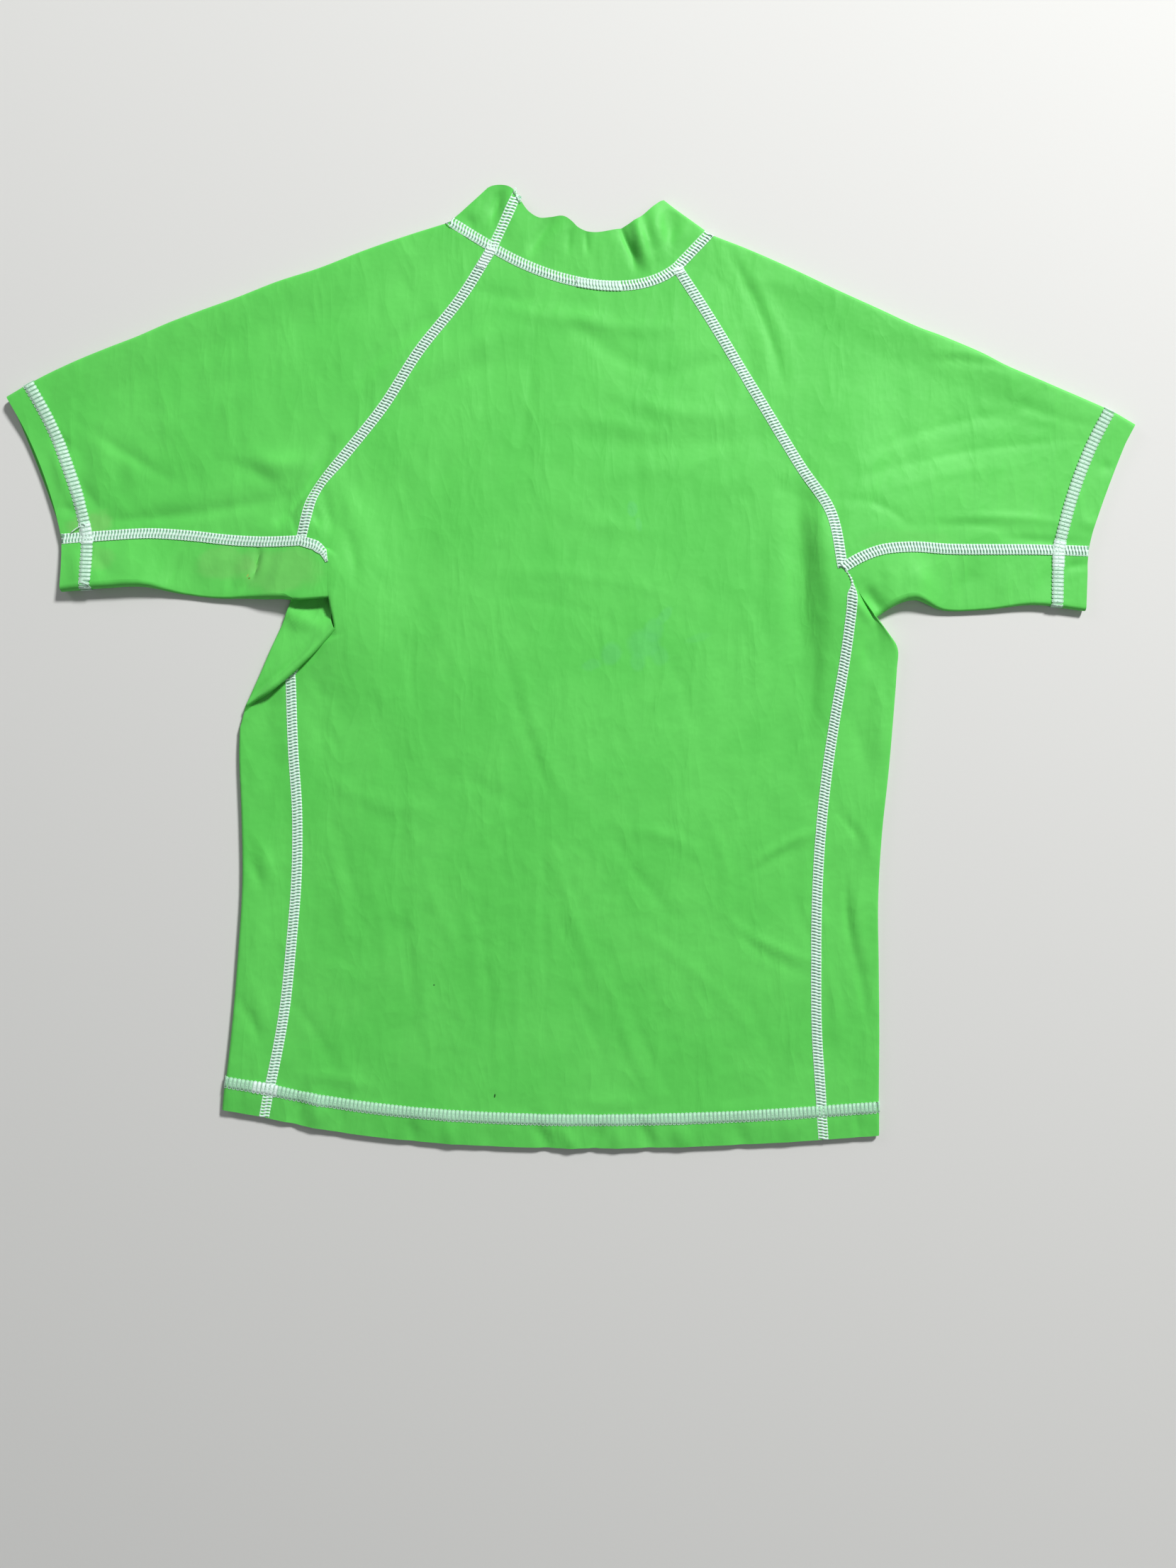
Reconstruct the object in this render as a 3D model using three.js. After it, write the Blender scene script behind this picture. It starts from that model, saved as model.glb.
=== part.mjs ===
// Short-sleeved stretch swim top with a stand-up collar, laid flat on its front.
//
// Millimetres. +X runs to the wearer's right, +Y towards the collar and +Z up from the
// surface that the garment lies on. The origin is on that surface, under the middle of the
// chest. The lower layer (front panel and the under halves of the sleeves and side panels)
// is flat on the surface, and the upper layer (back panel and the upper halves) lies on it.
// Every piece is a wall of cloth laid out as sections: each section starts at a seam, runs
// to a folded edge of the outline, turns over it and returns below to the next seam.

import * as THREE from 'three';

// ---------------------------------------------------------------- driving dimensions
const WALL = 1.0;                  // modelled thickness of the cloth
const SEAM_GAP = 0.3;              // space left between neighbouring pieces
const LOWER_LAYER = WALL / 2;      // height of the lower layer's middle surface
const REST_HEIGHT = 3.0;           // height of the upper layer's middle surface
const SEAM_REACH = 24;             // how far a lifted seam raises the cloth beside it
const FOLD_REACH = 30;             // how far a full folded edge raises the cloth beside it
const COLLAR_RISE = 0.8;           // extra height of the back of the collar

const FABRIC = { color: 0x66cf62, roughness: 0.62, metalness: 0.0 };

// A table is written as rows of numbers under named columns.
function table(columns, rows) {
  const names = columns.split(' ');
  return rows.map((row) => Object.fromEntries(names.map((name, i) => [name, row[i]])));
}

// Sleeve sections from the neck down the raglan seam. seam is on the back raglan, fold on
// the shoulder edge and under on the front raglan. rise lifts the whole section, and the
// two lifts raise the cloth beside the seam and beside the fold.
const SLEEVE_COLUMNS = 'seamX seamY foldX foldY underX underY rise seamLift foldLift';
const RAGLAN = {
  left: table(SLEEVE_COLUMNS, [
    [-60, 284, -89, 300, -78, 268, 0.6, 0.0, 1.0],
    [-80, 250, -115, 291, -92, 238, 0.0, 0.0, 1.4],
    [-107, 213, -146, 279, -112, 206, 0.0, 0.0, 1.8],
    [-129, 176, -176, 266, -133, 172, 0.0, 0.0, 2.0],
    [-155, 140, -206, 255, -156, 138, 0.0, 0.0, 2.2],
    [-173, 115, -231, 244, -172, 112, 0.0, 0.4, 2.4],
    [-181, 82, -256, 234, -179, 80, 0.0, 1.4, 2.4],
  ]),
  right: table(SLEEVE_COLUMNS, [
    [64, 275, 85, 298, 73, 264, 0.6, 0.0, 1.0],
    [84, 247, 111, 289, 90, 236, 0.0, 0.0, 1.4],
    [106, 214, 141, 277, 110, 206, 0.0, 0.0, 1.8],
    [129, 179, 171, 264, 132, 173, 0.0, 0.0, 2.0],
    [152, 144, 200, 252, 153, 141, 0.0, 0.2, 2.2],
    [172, 114, 226, 241, 170, 112, 0.0, 0.8, 2.4],
    [181, 76, 252, 232, 179, 76, 0.0, 1.2, 2.4],
  ]),
};

// Sections along the underarm seam, from the armpit out to the cuff. The sleeve runs from
// this seam up to the shoulder edge, and the side panel down to the lower edge.
const UNDERARM_COLUMNS =
  'seamX seamY foldX foldY lowerX lowerY underX underY rise seamLift foldLift lowerLift';
const UNDERARM = {
  left: table(UNDERARM_COLUMNS, [
    [-203, 81, -275, 226, -216, 42.5, -202, 80, 0.0, 0.4, 2.4, 5.0],
    [-229, 81.5, -296, 216, -238, 43, -229, 81, 0.0, 0.0, 2.4, 4.6],
    [-256, 83.5, -317, 207, -262, 45, -256, 82, 0.0, 0.0, 2.4, 4.4],
    [-283, 84, -338, 197.5, -286, 48, -283, 82.5, 0.2, 0.0, 2.2, 4.2],
    [-311, 81.5, -360, 186, -312, 46.5, -311, 80.5, 0.8, 0.0, 1.8, 3.6],
    [-342, 78, -382, 172, -341, 44, -342, 78, 2.4, 0.0, 0.6, 2.0],
  ]),
  right: table(UNDERARM_COLUMNS, [
    [192, 83, 270, 225, 213, 50, 192, 82, 0.0, 0.6, 2.4, 2.6],
    [206, 89, 287, 217, 222, 55, 206, 87, 0.0, 0.2, 2.4, 4.0],
    [225, 92, 305, 210, 232, 57.5, 225, 90, 0.0, 0.0, 2.4, 5.0],
    [254, 92, 323, 203, 252, 52, 254, 91, 0.0, 0.0, 2.4, 4.8],
    [283, 93, 341, 196, 280, 53, 283, 92, 0.2, 0.0, 2.2, 4.4],
    [314, 94, 358, 189, 312, 56, 314, 93, 0.8, 0.0, 1.8, 3.6],
    [347, 94, 375, 180, 344, 56, 347, 94, 2.4, 0.0, 0.6, 2.0],
  ]),
};

// Side panel sections from the hem up to the armpit.
const SIDE = {
  left: table(SLEEVE_COLUMNS, [
    [-193, -305, -221, -301, -190, -304, 3.0, 0.0, 0.6],
    [-188, -275, -219, -277, -186, -275, 0.8, 0.0, 1.6],
    [-182, -233, -216, -235, -181, -234, 0.0, 0.0, 2.0],
    [-179, -190, -214, -190, -178, -190, 0.0, 0.0, 2.0],
    [-177, -145, -213, -148, -177, -146, 0.0, 0.0, 2.0],
    [-178, -100, -215, -105, -178, -101, 0.0, 0.0, 2.0],
    [-182, -57, -218, -66, -180, -60, 0.0, 0.0, 1.6],
    [-185, -20, -219, -45, -182, -32, 0.0, -0.4, 0.4],
  ]),
  right: table(SLEEVE_COLUMNS, [
    [183, -307, 220, -303, 184, -305, 3.0, 0.0, 0.6],
    [180, -277, 219, -275, 180, -276, 0.8, 0.0, 1.6],
    [176, -235, 218, -235, 177, -235, 0.0, 0.0, 2.0],
    [174, -190, 216, -190, 175, -190, 0.0, 0.0, 2.0],
    [173, -145, 214, -145, 174, -145, 0.0, 0.0, 2.0],
    [174, -100, 215, -100, 174, -100, 0.0, 0.0, 2.0],
    [177, -57, 218, -58, 176, -57, 0.0, 0.0, 2.2],
    [181, -20, 220, -18, 178, -20, 0.0, 0.4, 2.6],
    [185, 12, 221, 10, 180, 10, 0.0, 0.8, 3.0],
    [187, 35, 221, 24, 181, 32, 0.0, 1.4, 3.2],
    [188, 56, 215, 33, 181, 50, 0.0, 2.0, 3.6],
    [187, 68, 208, 41, 181, 64, 0.0, 2.0, 3.4],
  ]),
};

// At the right armpit the outline turns its corner here.
const RIGHT_ARMPIT = { lowerX: 205, lowerY: 44, lowerLift: 1.6 };

// The left armpit is tucked. From the side seam's last point the back panel's edge runs
// under the tuck to its tip, and then up the crease beside the armpit to the underarm seam.
const LEFT_CREASE = table('seamX seamY underX underY rise seamLift', [
  [-178, 15, -181, -8, 0.0, -0.8],
  [-157, 21, -180, 16, 0.0, -0.4],
  [-160.5, 46, -179.5, 40, 0.0, 5.0],
  [-164, 70, -179, 62, 0.0, 4.0],
]);

// Two darted folds of the left side panel, both closed at the outline's point (tipX, tipY)
// and open towards the crease. Each goes in to its inner fold, out to its outer fold and
// in again, through three levels. Its sections take the stated stretch of the under seam.
const TUCKS = table(
  'tipX tipY innerX innerY outerX outerY below between above spread underFrom underTo', [
    [-218, -33, -178, 15, -158.1, 24, 2.2, 4.2, 6.4, 3.5, 0.1, 0.3],
    [-187, 43, -161.9, 53, -160.5, 46, 3.0, 5.3, 8.0, 3.0, 0.62, 0.78],
  ]);

// Sections of the flap between the two tucks, sloping from the seam to the fold.
const FLAP = table('seamX seamY foldX foldY under seamHeight foldHeight', [
  [-159.0, 31, -209, -13, 0.38, 5.7, 6.3],
  [-160.1, 39, -200, 10, 0.46, 4.0, 5.6],
  [-161.0, 46, -193, 28, 0.54, 3.1, 4.4],
]);

// Where the two armpit sections above the tucks meet the outline.
const LEFT_ARMPIT = table('foldX foldY lift', [
  [-193, 43.2, 5.2],
  [-203, 42.8, 5.2],
]);

// Neck and hem edges of the two large panels, as cubic curves: end, two handles, end.
const BACK_NECK = cubic(-60, 284, -22, 262, 36, 250, 64, 275);
const FRONT_NECK = cubic(-78, 268, -66, 214, 58, 204, 73, 264);
const BACK_HEM = cubic(-193, -305, -90, -327, 60, -320, 183, -307);
const FRONT_HEM = cubic(-190, -304, -90, -322, 60, -316, 184, -305);

// Top edge of the collar: the back between the raglan seams, the front, and the two folds.
const COLLAR_TOP = {
  back: cubic(-41, 316, -22, 293, 22, 289, 42, 311),
  front: cubic(-58, 298, -34, 250, 34, 248, 52, 293),
  leftFold: new THREE.Vector2(-61, 326),
  rightFold: new THREE.Vector2(56, 318),
};

// Largest creases of the upper layer: soft troughs and ridges along short lines.
const CREASES = table('fromX fromY toX toY width height', [
  [159, 121, 166, -20, 7, -0.9],
  [148, 116, 153, 0, 9, 1.6],
  [174, 96, 178, 30, 6, 0.9],
  [-146, 193, -104, 233, 9, -0.7],
  [-194, 103, -164, 142, 10, -0.7],
  [108, 262, 140, 196, 8, -0.7],
  [-306, 132, -212, 152, 9, 1.1],
  [228, 128, 262, 134, 12, 1.2],
]);

// ---------------------------------------------------------------- shared shapes
function cubic(x0, y0, x1, y1, x2, y2, x3, y3) {
  return new THREE.CubicBezierCurve(
    new THREE.Vector2(x0, y0),
    new THREE.Vector2(x1, y1),
    new THREE.Vector2(x2, y2),
    new THREE.Vector2(x3, y3),
  );
}

const vector2 = (x, y) => new THREE.Vector2(x, y);
const mix = (a, b, t) => a + (b - a) * t;
const between = (a, b, t) => a.clone().lerp(b, t);

// 1 at the edge, falling smoothly to 0 at the stated reach.
function fade(distance, reach) {
  const t = Math.min(Math.abs(distance) / reach, 1);
  return (1 - t * t) ** 2;
}

// Sum of the creases at a point: each falls off as a bell curve away from its line.
function creaseHeight(point) {
  return CREASES.reduce((sum, crease) => {
    const from = vector2(crease.fromX, crease.fromY);
    const along = vector2(crease.toX, crease.toY).sub(from);
    const offset = point.clone().sub(from);
    const t = THREE.MathUtils.clamp(offset.dot(along) / along.lengthSq(), 0, 1);
    const distance = offset.addScaledVector(along, -t).length();
    return sum + crease.height * Math.exp(-((distance / crease.width) ** 2));
  }, 0);
}

// Positions across a section, as distances from its folded edge. Shares fill the stretch
// up to the first near distance, and angles turn the fold from the upper to the lower layer.
const UPPER_SHARES = [0, 0.12, 0.3, 0.5, 0.75];
const NEAR_FOLD = [14, 7];
const FOLD_ANGLES = [90, 60, 30, 0, -30, -60, -90].map(THREE.MathUtils.degToRad);
const LOWER_SHARES = [0.3, 0.65, 1];

// One section. upper(t) gives the middle surface from the seam (t = 0) to the outline
// (t = 1), and under is the end on the lower layer. The fold is half a turn whose height
// is that of the upper surface at the outline.
function wrapSection(upper, under) {
  const seam = upper(0);
  const tip = upper(1);
  const length = Math.hypot(tip.x - seam.x, tip.y - seam.y);
  const radius = (tip.z - LOWER_LAYER) / 2;
  const lowerLength = Math.hypot(under.x - tip.x, under.y - tip.y);
  const inner = length - NEAR_FOLD[0];
  const points = UPPER_SHARES.map((share) => upper((inner * share) / length));
  NEAR_FOLD.forEach((distance) => points.push(upper(1 - distance / length)));
  FOLD_ANGLES.forEach((angle) => {
    const distance = radius * (1 - Math.cos(angle));
    const onUpper = upper(1 - distance / length);
    const share = (1 + Math.sin(angle)) / 2;
    const plan = angle >= 0
      ? vector2(onUpper.x, onUpper.y)
      : between(vector2(tip.x, tip.y), under, distance / lowerLength);
    const top = angle >= 0 ? onUpper.z : tip.z;
    points.push(new THREE.Vector3(plan.x, plan.y, mix(LOWER_LAYER, top, share)));
  });
  const flatStart = radius / lowerLength;
  LOWER_SHARES.forEach((share) => {
    const plan = between(vector2(tip.x, tip.y), under, mix(flatStart, 1, share));
    points.push(new THREE.Vector3(plan.x, plan.y, LOWER_LAYER));
  });
  return points;
}

// An untucked section, straight in plan from seam to fold.
function plainSection({ seam, fold, under, rise, seamLift, foldLift }) {
  const length = seam.distanceTo(fold);
  const foldReach = Math.min(FOLD_REACH, length);
  const seamReach = Math.min(SEAM_REACH, length);
  const largest = Math.max(Math.abs(seamLift), Math.abs(foldLift), 1e-6);
  const upper = (t) => {
    const plan = between(seam, fold, t);
    const bySeam = seamLift * fade(length * t, seamReach);
    const byFold = foldLift * fade(length * (1 - t), foldReach);
    const shared = Math.max(bySeam * byFold, 0) / largest;
    const height = REST_HEIGHT + rise + bySeam + byFold - shared + creaseHeight(plan);
    return new THREE.Vector3(plan.x, plan.y, height);
  };
  return wrapSection(upper, under);
}

const sleeveSection = (row) => plainSection({
  seam: vector2(row.seamX, row.seamY),
  fold: vector2(row.foldX, row.foldY),
  under: vector2(row.underX, row.underY),
  rise: row.rise,
  seamLift: row.seamLift,
  foldLift: row.foldLift,
});

const lowerSection = (row) => plainSection({
  seam: vector2(row.seamX, row.seamY),
  fold: vector2(row.lowerX, row.lowerY),
  under: vector2(row.underX, row.underY),
  rise: row.rise,
  seamLift: row.seamLift,
  foldLift: row.lowerLift,
});

// Moves the edge points of a grid inwards, at right angles to the edge.
function insetEdge(edge, next, distance) {
  const moved = edge.map((point, i) => {
    const before = edge[Math.max(i - 1, 0)];
    const after = edge[Math.min(i + 1, edge.length - 1)];
    const along = after.clone().sub(before).normalize();
    const inwards = next[i].clone().sub(point);
    inwards.addScaledVector(along, -inwards.dot(along)).normalize();
    return point.clone().addScaledVector(inwards, distance);
  });
  moved.forEach((point, i) => edge[i].copy(point));
}

// Leaves half the seam gap along the named edges of a grid.
function insetGrid(grid, edges) {
  const column = (index) => grid.map((row) => row.at(index));
  const pairs = {
    first: [grid[0], grid[1]],
    last: [grid.at(-1), grid.at(-2)],
    start: [column(0), column(1)],
    end: [column(-1), column(-2)],
  };
  edges.forEach((edge) => insetEdge(...pairs[edge], SEAM_GAP / 2));
  return grid;
}

// Normal of the middle surface at each grid point, from its neighbours along both ways.
function gridNormals(grid) {
  const last = grid.length - 1;
  return grid.map((row, i) => row.map((_, j) => {
    const down = grid[Math.min(i + 1, last)][j].clone().sub(grid[Math.max(i - 1, 0)][j]);
    const across = row[Math.min(j + 1, row.length - 1)].clone().sub(row[Math.max(j - 1, 0)]);
    return across.cross(down).normalize();
  }));
}

// Closed wall of cloth: two skins half a wall either side of the grid, and four rims.
function clothWall(grid) {
  const normals = gridNormals(grid);
  const rows = grid.length;
  const columns = grid[0].length;
  const positions = [];
  [WALL / 2, -WALL / 2].forEach((offset) => {
    grid.forEach((row, i) => row.forEach((point, j) => {
      positions.push(...point.clone().addScaledVector(normals[i][j], offset).toArray());
    }));
  });
  const outer = (i, j) => i * columns + j;
  const inner = (i, j) => rows * columns + outer(i, j);
  const indices = [];
  const quad = (a, b, c, d) => indices.push(a, b, c, a, c, d);
  for (let i = 0; i < rows - 1; i += 1) {
    for (let j = 0; j < columns - 1; j += 1) {
      quad(outer(i, j), outer(i, j + 1), outer(i + 1, j + 1), outer(i + 1, j));
      quad(inner(i, j), inner(i + 1, j), inner(i + 1, j + 1), inner(i, j + 1));
    }
    quad(outer(i, 0), outer(i + 1, 0), inner(i + 1, 0), inner(i, 0));
    const end = columns - 1;
    quad(outer(i + 1, end), outer(i, end), inner(i, end), inner(i + 1, end));
  }
  for (let j = 0; j < columns - 1; j += 1) {
    quad(outer(0, j + 1), outer(0, j), inner(0, j), inner(0, j + 1));
    const end = rows - 1;
    quad(outer(end, j), outer(end, j + 1), inner(end, j + 1), inner(end, j));
  }
  const geometry = new THREE.BufferGeometry();
  geometry.setAttribute('position', new THREE.Float32BufferAttribute(positions, 3));
  geometry.setIndex(signedVolume(positions, indices) < 0 ? flipped(indices) : indices);
  geometry.computeVertexNormals();
  return geometry;
}

function signedVolume(positions, indices) {
  const corner = (index) => new THREE.Vector3().fromArray(positions, index * 3);
  let sum = 0;
  for (let i = 0; i < indices.length; i += 3) {
    const [a, b, c] = [corner(indices[i]), corner(indices[i + 1]), corner(indices[i + 2])];
    sum += a.dot(b.cross(c));
  }
  return sum / 6;
}

function flipped(indices) {
  return indices.map((_, i) => indices[i - (i % 3) + 2 - (i % 3)]);
}

// ---------------------------------------------------------------- sleeves
function sleeveGrid(side) {
  return [...RAGLAN[side], ...UNDERARM[side]].map(sleeveSection);
}

// ---------------------------------------------------------------- side panels
function rightSidePanelGrid() {
  const armpit = { ...RAGLAN.right.at(-1), ...RIGHT_ARMPIT };
  const upToArmpit = SIDE.right.map(sleeveSection);
  return [...upToArmpit, lowerSection(armpit), ...UNDERARM.right.map(lowerSection)];
}

// Straight stretch of the left under seam beside the armpit, from share 0 to 1.
function leftUnderSeam(share) {
  const stations = [SIDE.left.at(-1), ...LEFT_CREASE, RAGLAN.left.at(-1)];
  const place = share * (stations.length - 1);
  const index = Math.min(Math.floor(place), stations.length - 2);
  const [a, b] = [stations[index], stations[index + 1]];
  const t = place - index;
  return vector2(mix(a.underX, b.underX, t), mix(a.underY, b.underY, t));
}

// Sections of one tuck. Each fold is a half turn between two levels, bulging across the
// fold line. Towards the tip the turns open out along the outline into a plain slope.
const TUCK_ANGLES = [0, 45, 90, 135, 180].map(THREE.MathUtils.degToRad);

function tuckSections(tuck, before, after) {
  const tip = vector2(tuck.tipX, tuck.tipY);
  const outer = vector2(tuck.outerX, tuck.outerY);
  const outwards = outer.clone().sub(tip).normalize().rotateAround(vector2(0, 0), -Math.PI / 2);
  const folds = [
    { end: vector2(tuck.innerX, tuck.innerY), low: tuck.below, high: tuck.between, way: -1 },
    { end: outer, low: tuck.between, high: tuck.above, way: 1 },
  ];
  const steps = folds.flatMap((fold) => TUCK_ANGLES.map((angle) => ({ ...fold, angle })));
  return steps.map(({ end, low, high, way, angle }, i) => {
    const share = i / (steps.length - 1);
    const radius = (high - low) / 2;
    const bulge = outwards.clone().multiplyScalar(way * radius * Math.sin(angle));
    const level = (low + high) / 2 - radius * Math.cos(angle);
    const ramp = mix(tuck.below, tuck.above, share);
    const side = 2 * share - 1;
    const towards = (side < 0 ? before : after).clone().sub(tip).normalize();
    const slide = towards.multiplyScalar(Math.abs(side) * tuck.spread);
    const upper = (t) => {
      const open = THREE.MathUtils.smoothstep(t, 0.7, 1);
      const plan = between(end, tip, t);
      plan.addScaledVector(bulge, 1 - open).addScaledVector(slide, open);
      return new THREE.Vector3(plan.x, plan.y, mix(level, ramp, open));
    };
    return wrapSection(upper, leftUnderSeam(mix(tuck.underFrom, tuck.underTo, share)));
  });
}

function leftSidePanelGrid() {
  const [lowTuck, highTuck] = TUCKS;
  const flap = FLAP.map((row) => {
    const seam = new THREE.Vector3(row.seamX, row.seamY, row.seamHeight);
    const fold = new THREE.Vector3(row.foldX, row.foldY, row.foldHeight);
    return wrapSection((t) => seam.clone().lerp(fold, t), leftUnderSeam(row.under));
  });
  const outline = [SIDE.left.at(-1), ...FLAP, LEFT_ARMPIT[0]];
  const at = (row) => vector2(row.foldX, row.foldY);
  const crease = LEFT_CREASE.at(-1);
  const armpit = RAGLAN.left.at(-1);
  const [first, second] = LEFT_ARMPIT;
  const aboveTucks = [
    plainSection({
      seam: vector2(crease.seamX, crease.seamY),
      fold: at(first),
      under: leftUnderSeam(0.9),
      rise: 0,
      seamLift: crease.seamLift,
      foldLift: first.lift,
    }),
    plainSection({
      seam: vector2(armpit.seamX, armpit.seamY),
      fold: at(second),
      under: leftUnderSeam(1),
      rise: 0,
      seamLift: armpit.seamLift,
      foldLift: second.lift,
    }),
  ];
  return [
    ...SIDE.left.map(sleeveSection),
    ...tuckSections(lowTuck, at(outline[0]), at(outline[1])),
    ...flap,
    ...tuckSections(highTuck, at(outline.at(-2)), at(outline.at(-1))),
    ...aboveTucks,
    ...UNDERARM.left.map(lowerSection),
  ];
}

// ---------------------------------------------------------------- back and front panels
// Column positions: at stated distances from each side edge, and evenly between them.
const EDGE_DISTANCES = [0, 4, 10, 20];
const MIDDLE_COLUMNS = 7;

// Shares across a panel of the stated width.
function panelColumns(width) {
  const near = EDGE_DISTANCES.map((distance) => distance / width);
  const middle = [];
  for (let i = 1; i < MIDDLE_COLUMNS; i += 1) {
    middle.push(mix(near.at(-1), 1 - near.at(-1), i / MIDDLE_COLUMNS));
  }
  return [...near, ...middle, ...near.map((share) => 1 - share).reverse()];
}

// A Coons patch: the two side edges blended across, plus the hem and neck edges blended
// up, less the same blend of the four corners. Neck columns are even in share.
function panelGrid(left, right, hem, neck, layer) {
  const rows = left.length - 1;
  const corners = [hem.getPoint(0), hem.getPoint(1), neck.getPoint(0), neck.getPoint(1)];
  return left.map((leftEdge, i) => {
    const v = i / rows;
    const rightEdge = right[i];
    const width = leftEdge.point.distanceTo(rightEdge.point);
    return panelColumns(width).map((u) => {
      const across = between(leftEdge.point, rightEdge.point, u);
      const upwards = between(hem.getPoint(u), neck.getPoint(u), v);
      const low = between(corners[0], corners[1], u);
      const high = between(corners[2], corners[3], u);
      const plan = across.add(upwards).sub(between(low, high, v));
      return layer(plan, u, width, leftEdge, rightEdge);
    });
  });
}

const upperEdge = (row) => ({ ...row, point: vector2(row.seamX, row.seamY) });
const lowerEdge = (row) => ({ ...row, point: vector2(row.underX, row.underY) });

const LEFT_EDGE = [...SIDE.left, ...LEFT_CREASE, ...RAGLAN.left.toReversed()];
const RIGHT_EDGE = [...SIDE.right, ...RAGLAN.right.toReversed()];

function backPanelGrid() {
  const layer = (plan, u, width, left, right) => {
    const lifted = left.seamLift * fade(u * width, SEAM_REACH)
      + right.seamLift * fade((1 - u) * width, SEAM_REACH);
    const height = REST_HEIGHT + mix(left.rise, right.rise, u) + lifted + creaseHeight(plan);
    return new THREE.Vector3(plan.x, plan.y, height);
  };
  return panelGrid(LEFT_EDGE.map(upperEdge), RIGHT_EDGE.map(upperEdge), BACK_HEM, BACK_NECK, layer);
}

function frontPanelGrid() {
  const layer = (plan) => new THREE.Vector3(plan.x, plan.y, LOWER_LAYER);
  return panelGrid(LEFT_EDGE.map(lowerEdge), RIGHT_EDGE.map(lowerEdge), FRONT_HEM, FRONT_NECK, layer);
}

// ---------------------------------------------------------------- collar
// The band's lower edge follows the neck edges of the panels and sleeves, from the join
// over the left raglan seam across the back, the right sleeve, the front and the left
// sleeve. Its upper edge is worked out at the same places.
const COLLAR_STEPS = [0, 0.35, 0.7, 1];

function sleeveArc(section, topAtSeam, fold, topAtUnder, way) {
  const seam = section[0];
  const under = section.at(-1);
  const tipIndex = UPPER_SHARES.length + NEAR_FOLD.length + FOLD_ANGLES.indexOf(0);
  const tip = section[tipIndex];
  const plan = (point) => vector2(point.x, point.y);
  const places = section.map((point, i) => {
    const [start, top] = i <= tipIndex ? [seam, topAtSeam] : [under, topAtUnder];
    const share = plan(point).distanceTo(plan(start)) / plan(tip).distanceTo(plan(start));
    const edge = between(top, fold, share);
    const lift = i <= tipIndex ? COLLAR_RISE * (1 - share) : 0;
    return { low: point, high: new THREE.Vector3(edge.x, edge.y, point.z + lift) };
  });
  return way > 0 ? places : places.reverse();
}

function panelArc(edge, top, lift, way) {
  const width = edge[0].distanceTo(edge.at(-1));
  const places = panelColumns(width).map((u, i) => {
    const point = top.getPoint(u);
    return { low: edge[i], high: new THREE.Vector3(point.x, point.y, edge[i].z + lift) };
  });
  return way > 0 ? places : places.reverse();
}

function collarGrid() {
  const copy = (row) => row.map((point) => point.clone());
  const top = COLLAR_TOP;
  const back = panelArc(copy(backPanelGrid().at(-1)), top.back, COLLAR_RISE, 1);
  const front = panelArc(copy(frontPanelGrid().at(-1)), top.front, 0, -1);
  const right = sleeveArc(
    copy(sleeveGrid('right')[0]), top.back.getPoint(1), top.rightFold, top.front.getPoint(1), 1);
  const left = sleeveArc(
    copy(sleeveGrid('left')[0]), top.back.getPoint(0), top.leftFold, top.front.getPoint(0), -1);
  const ring = [...back, ...right.slice(1), ...front.slice(1), ...left.slice(1)];
  return COLLAR_STEPS.map((step) => ring.map(({ low, high }) => low.clone().lerp(high, step)));
}

// ---------------------------------------------------------------- the garment
function piece(name, grid) {
  const mesh = new THREE.Mesh(clothWall(grid), new THREE.MeshStandardMaterial(FABRIC));
  mesh.name = name;
  return mesh;
}

const garment = new THREE.Group();
garment.add(
  piece('back_panel', insetGrid(backPanelGrid(), ['start', 'end', 'last'])),
  piece('front_panel', insetGrid(frontPanelGrid(), ['start', 'end', 'last'])),
  piece('sleeve_left', insetGrid(sleeveGrid('left'), ['start', 'end', 'first'])),
  piece('sleeve_right', insetGrid(sleeveGrid('right'), ['start', 'end', 'first'])),
  piece('side_panel_left', insetGrid(leftSidePanelGrid(), ['start', 'end'])),
  piece('side_panel_right', insetGrid(rightSidePanelGrid(), ['start', 'end'])),
  piece('collar', insetGrid(collarGrid(), ['first', 'start', 'end'])),
);

export default garment;
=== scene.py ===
"""Short-sleeved raglan swim top with a stand-up collar, laid flat on its front.

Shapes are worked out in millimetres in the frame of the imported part: +X to the wearer's right, +Y to
the collar, +Z up from the surface that the top lies on. The lower layer (front panel and under halves)
is flat on that surface and the upper layer (back panel and upper halves) lies on it. Every cloth piece
is a thin wall on a grid of sections, and every stitch is a thread swept along its own seam.
"""

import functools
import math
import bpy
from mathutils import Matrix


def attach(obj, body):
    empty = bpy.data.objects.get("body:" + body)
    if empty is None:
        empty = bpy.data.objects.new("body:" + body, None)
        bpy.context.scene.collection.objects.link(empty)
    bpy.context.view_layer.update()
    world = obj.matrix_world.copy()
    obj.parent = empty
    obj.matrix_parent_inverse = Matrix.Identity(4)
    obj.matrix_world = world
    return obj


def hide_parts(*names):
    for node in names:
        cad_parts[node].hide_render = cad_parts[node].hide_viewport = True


bl_info = {
    "name": "Raglan Swim Top",
    "version": (1, 0, 0),
    "blender": (4, 5, 0),
    "location": "View3D > Sidebar > Swim Top",
    "description": "Builds a laid-out raglan swim top: cloth panels, collar, seams and stitching",
    "category": "Add Mesh",
}

import bpy
import numpy as np
from bpy.props import FloatProperty, FloatVectorProperty, PointerProperty
from mathutils import Vector

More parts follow.
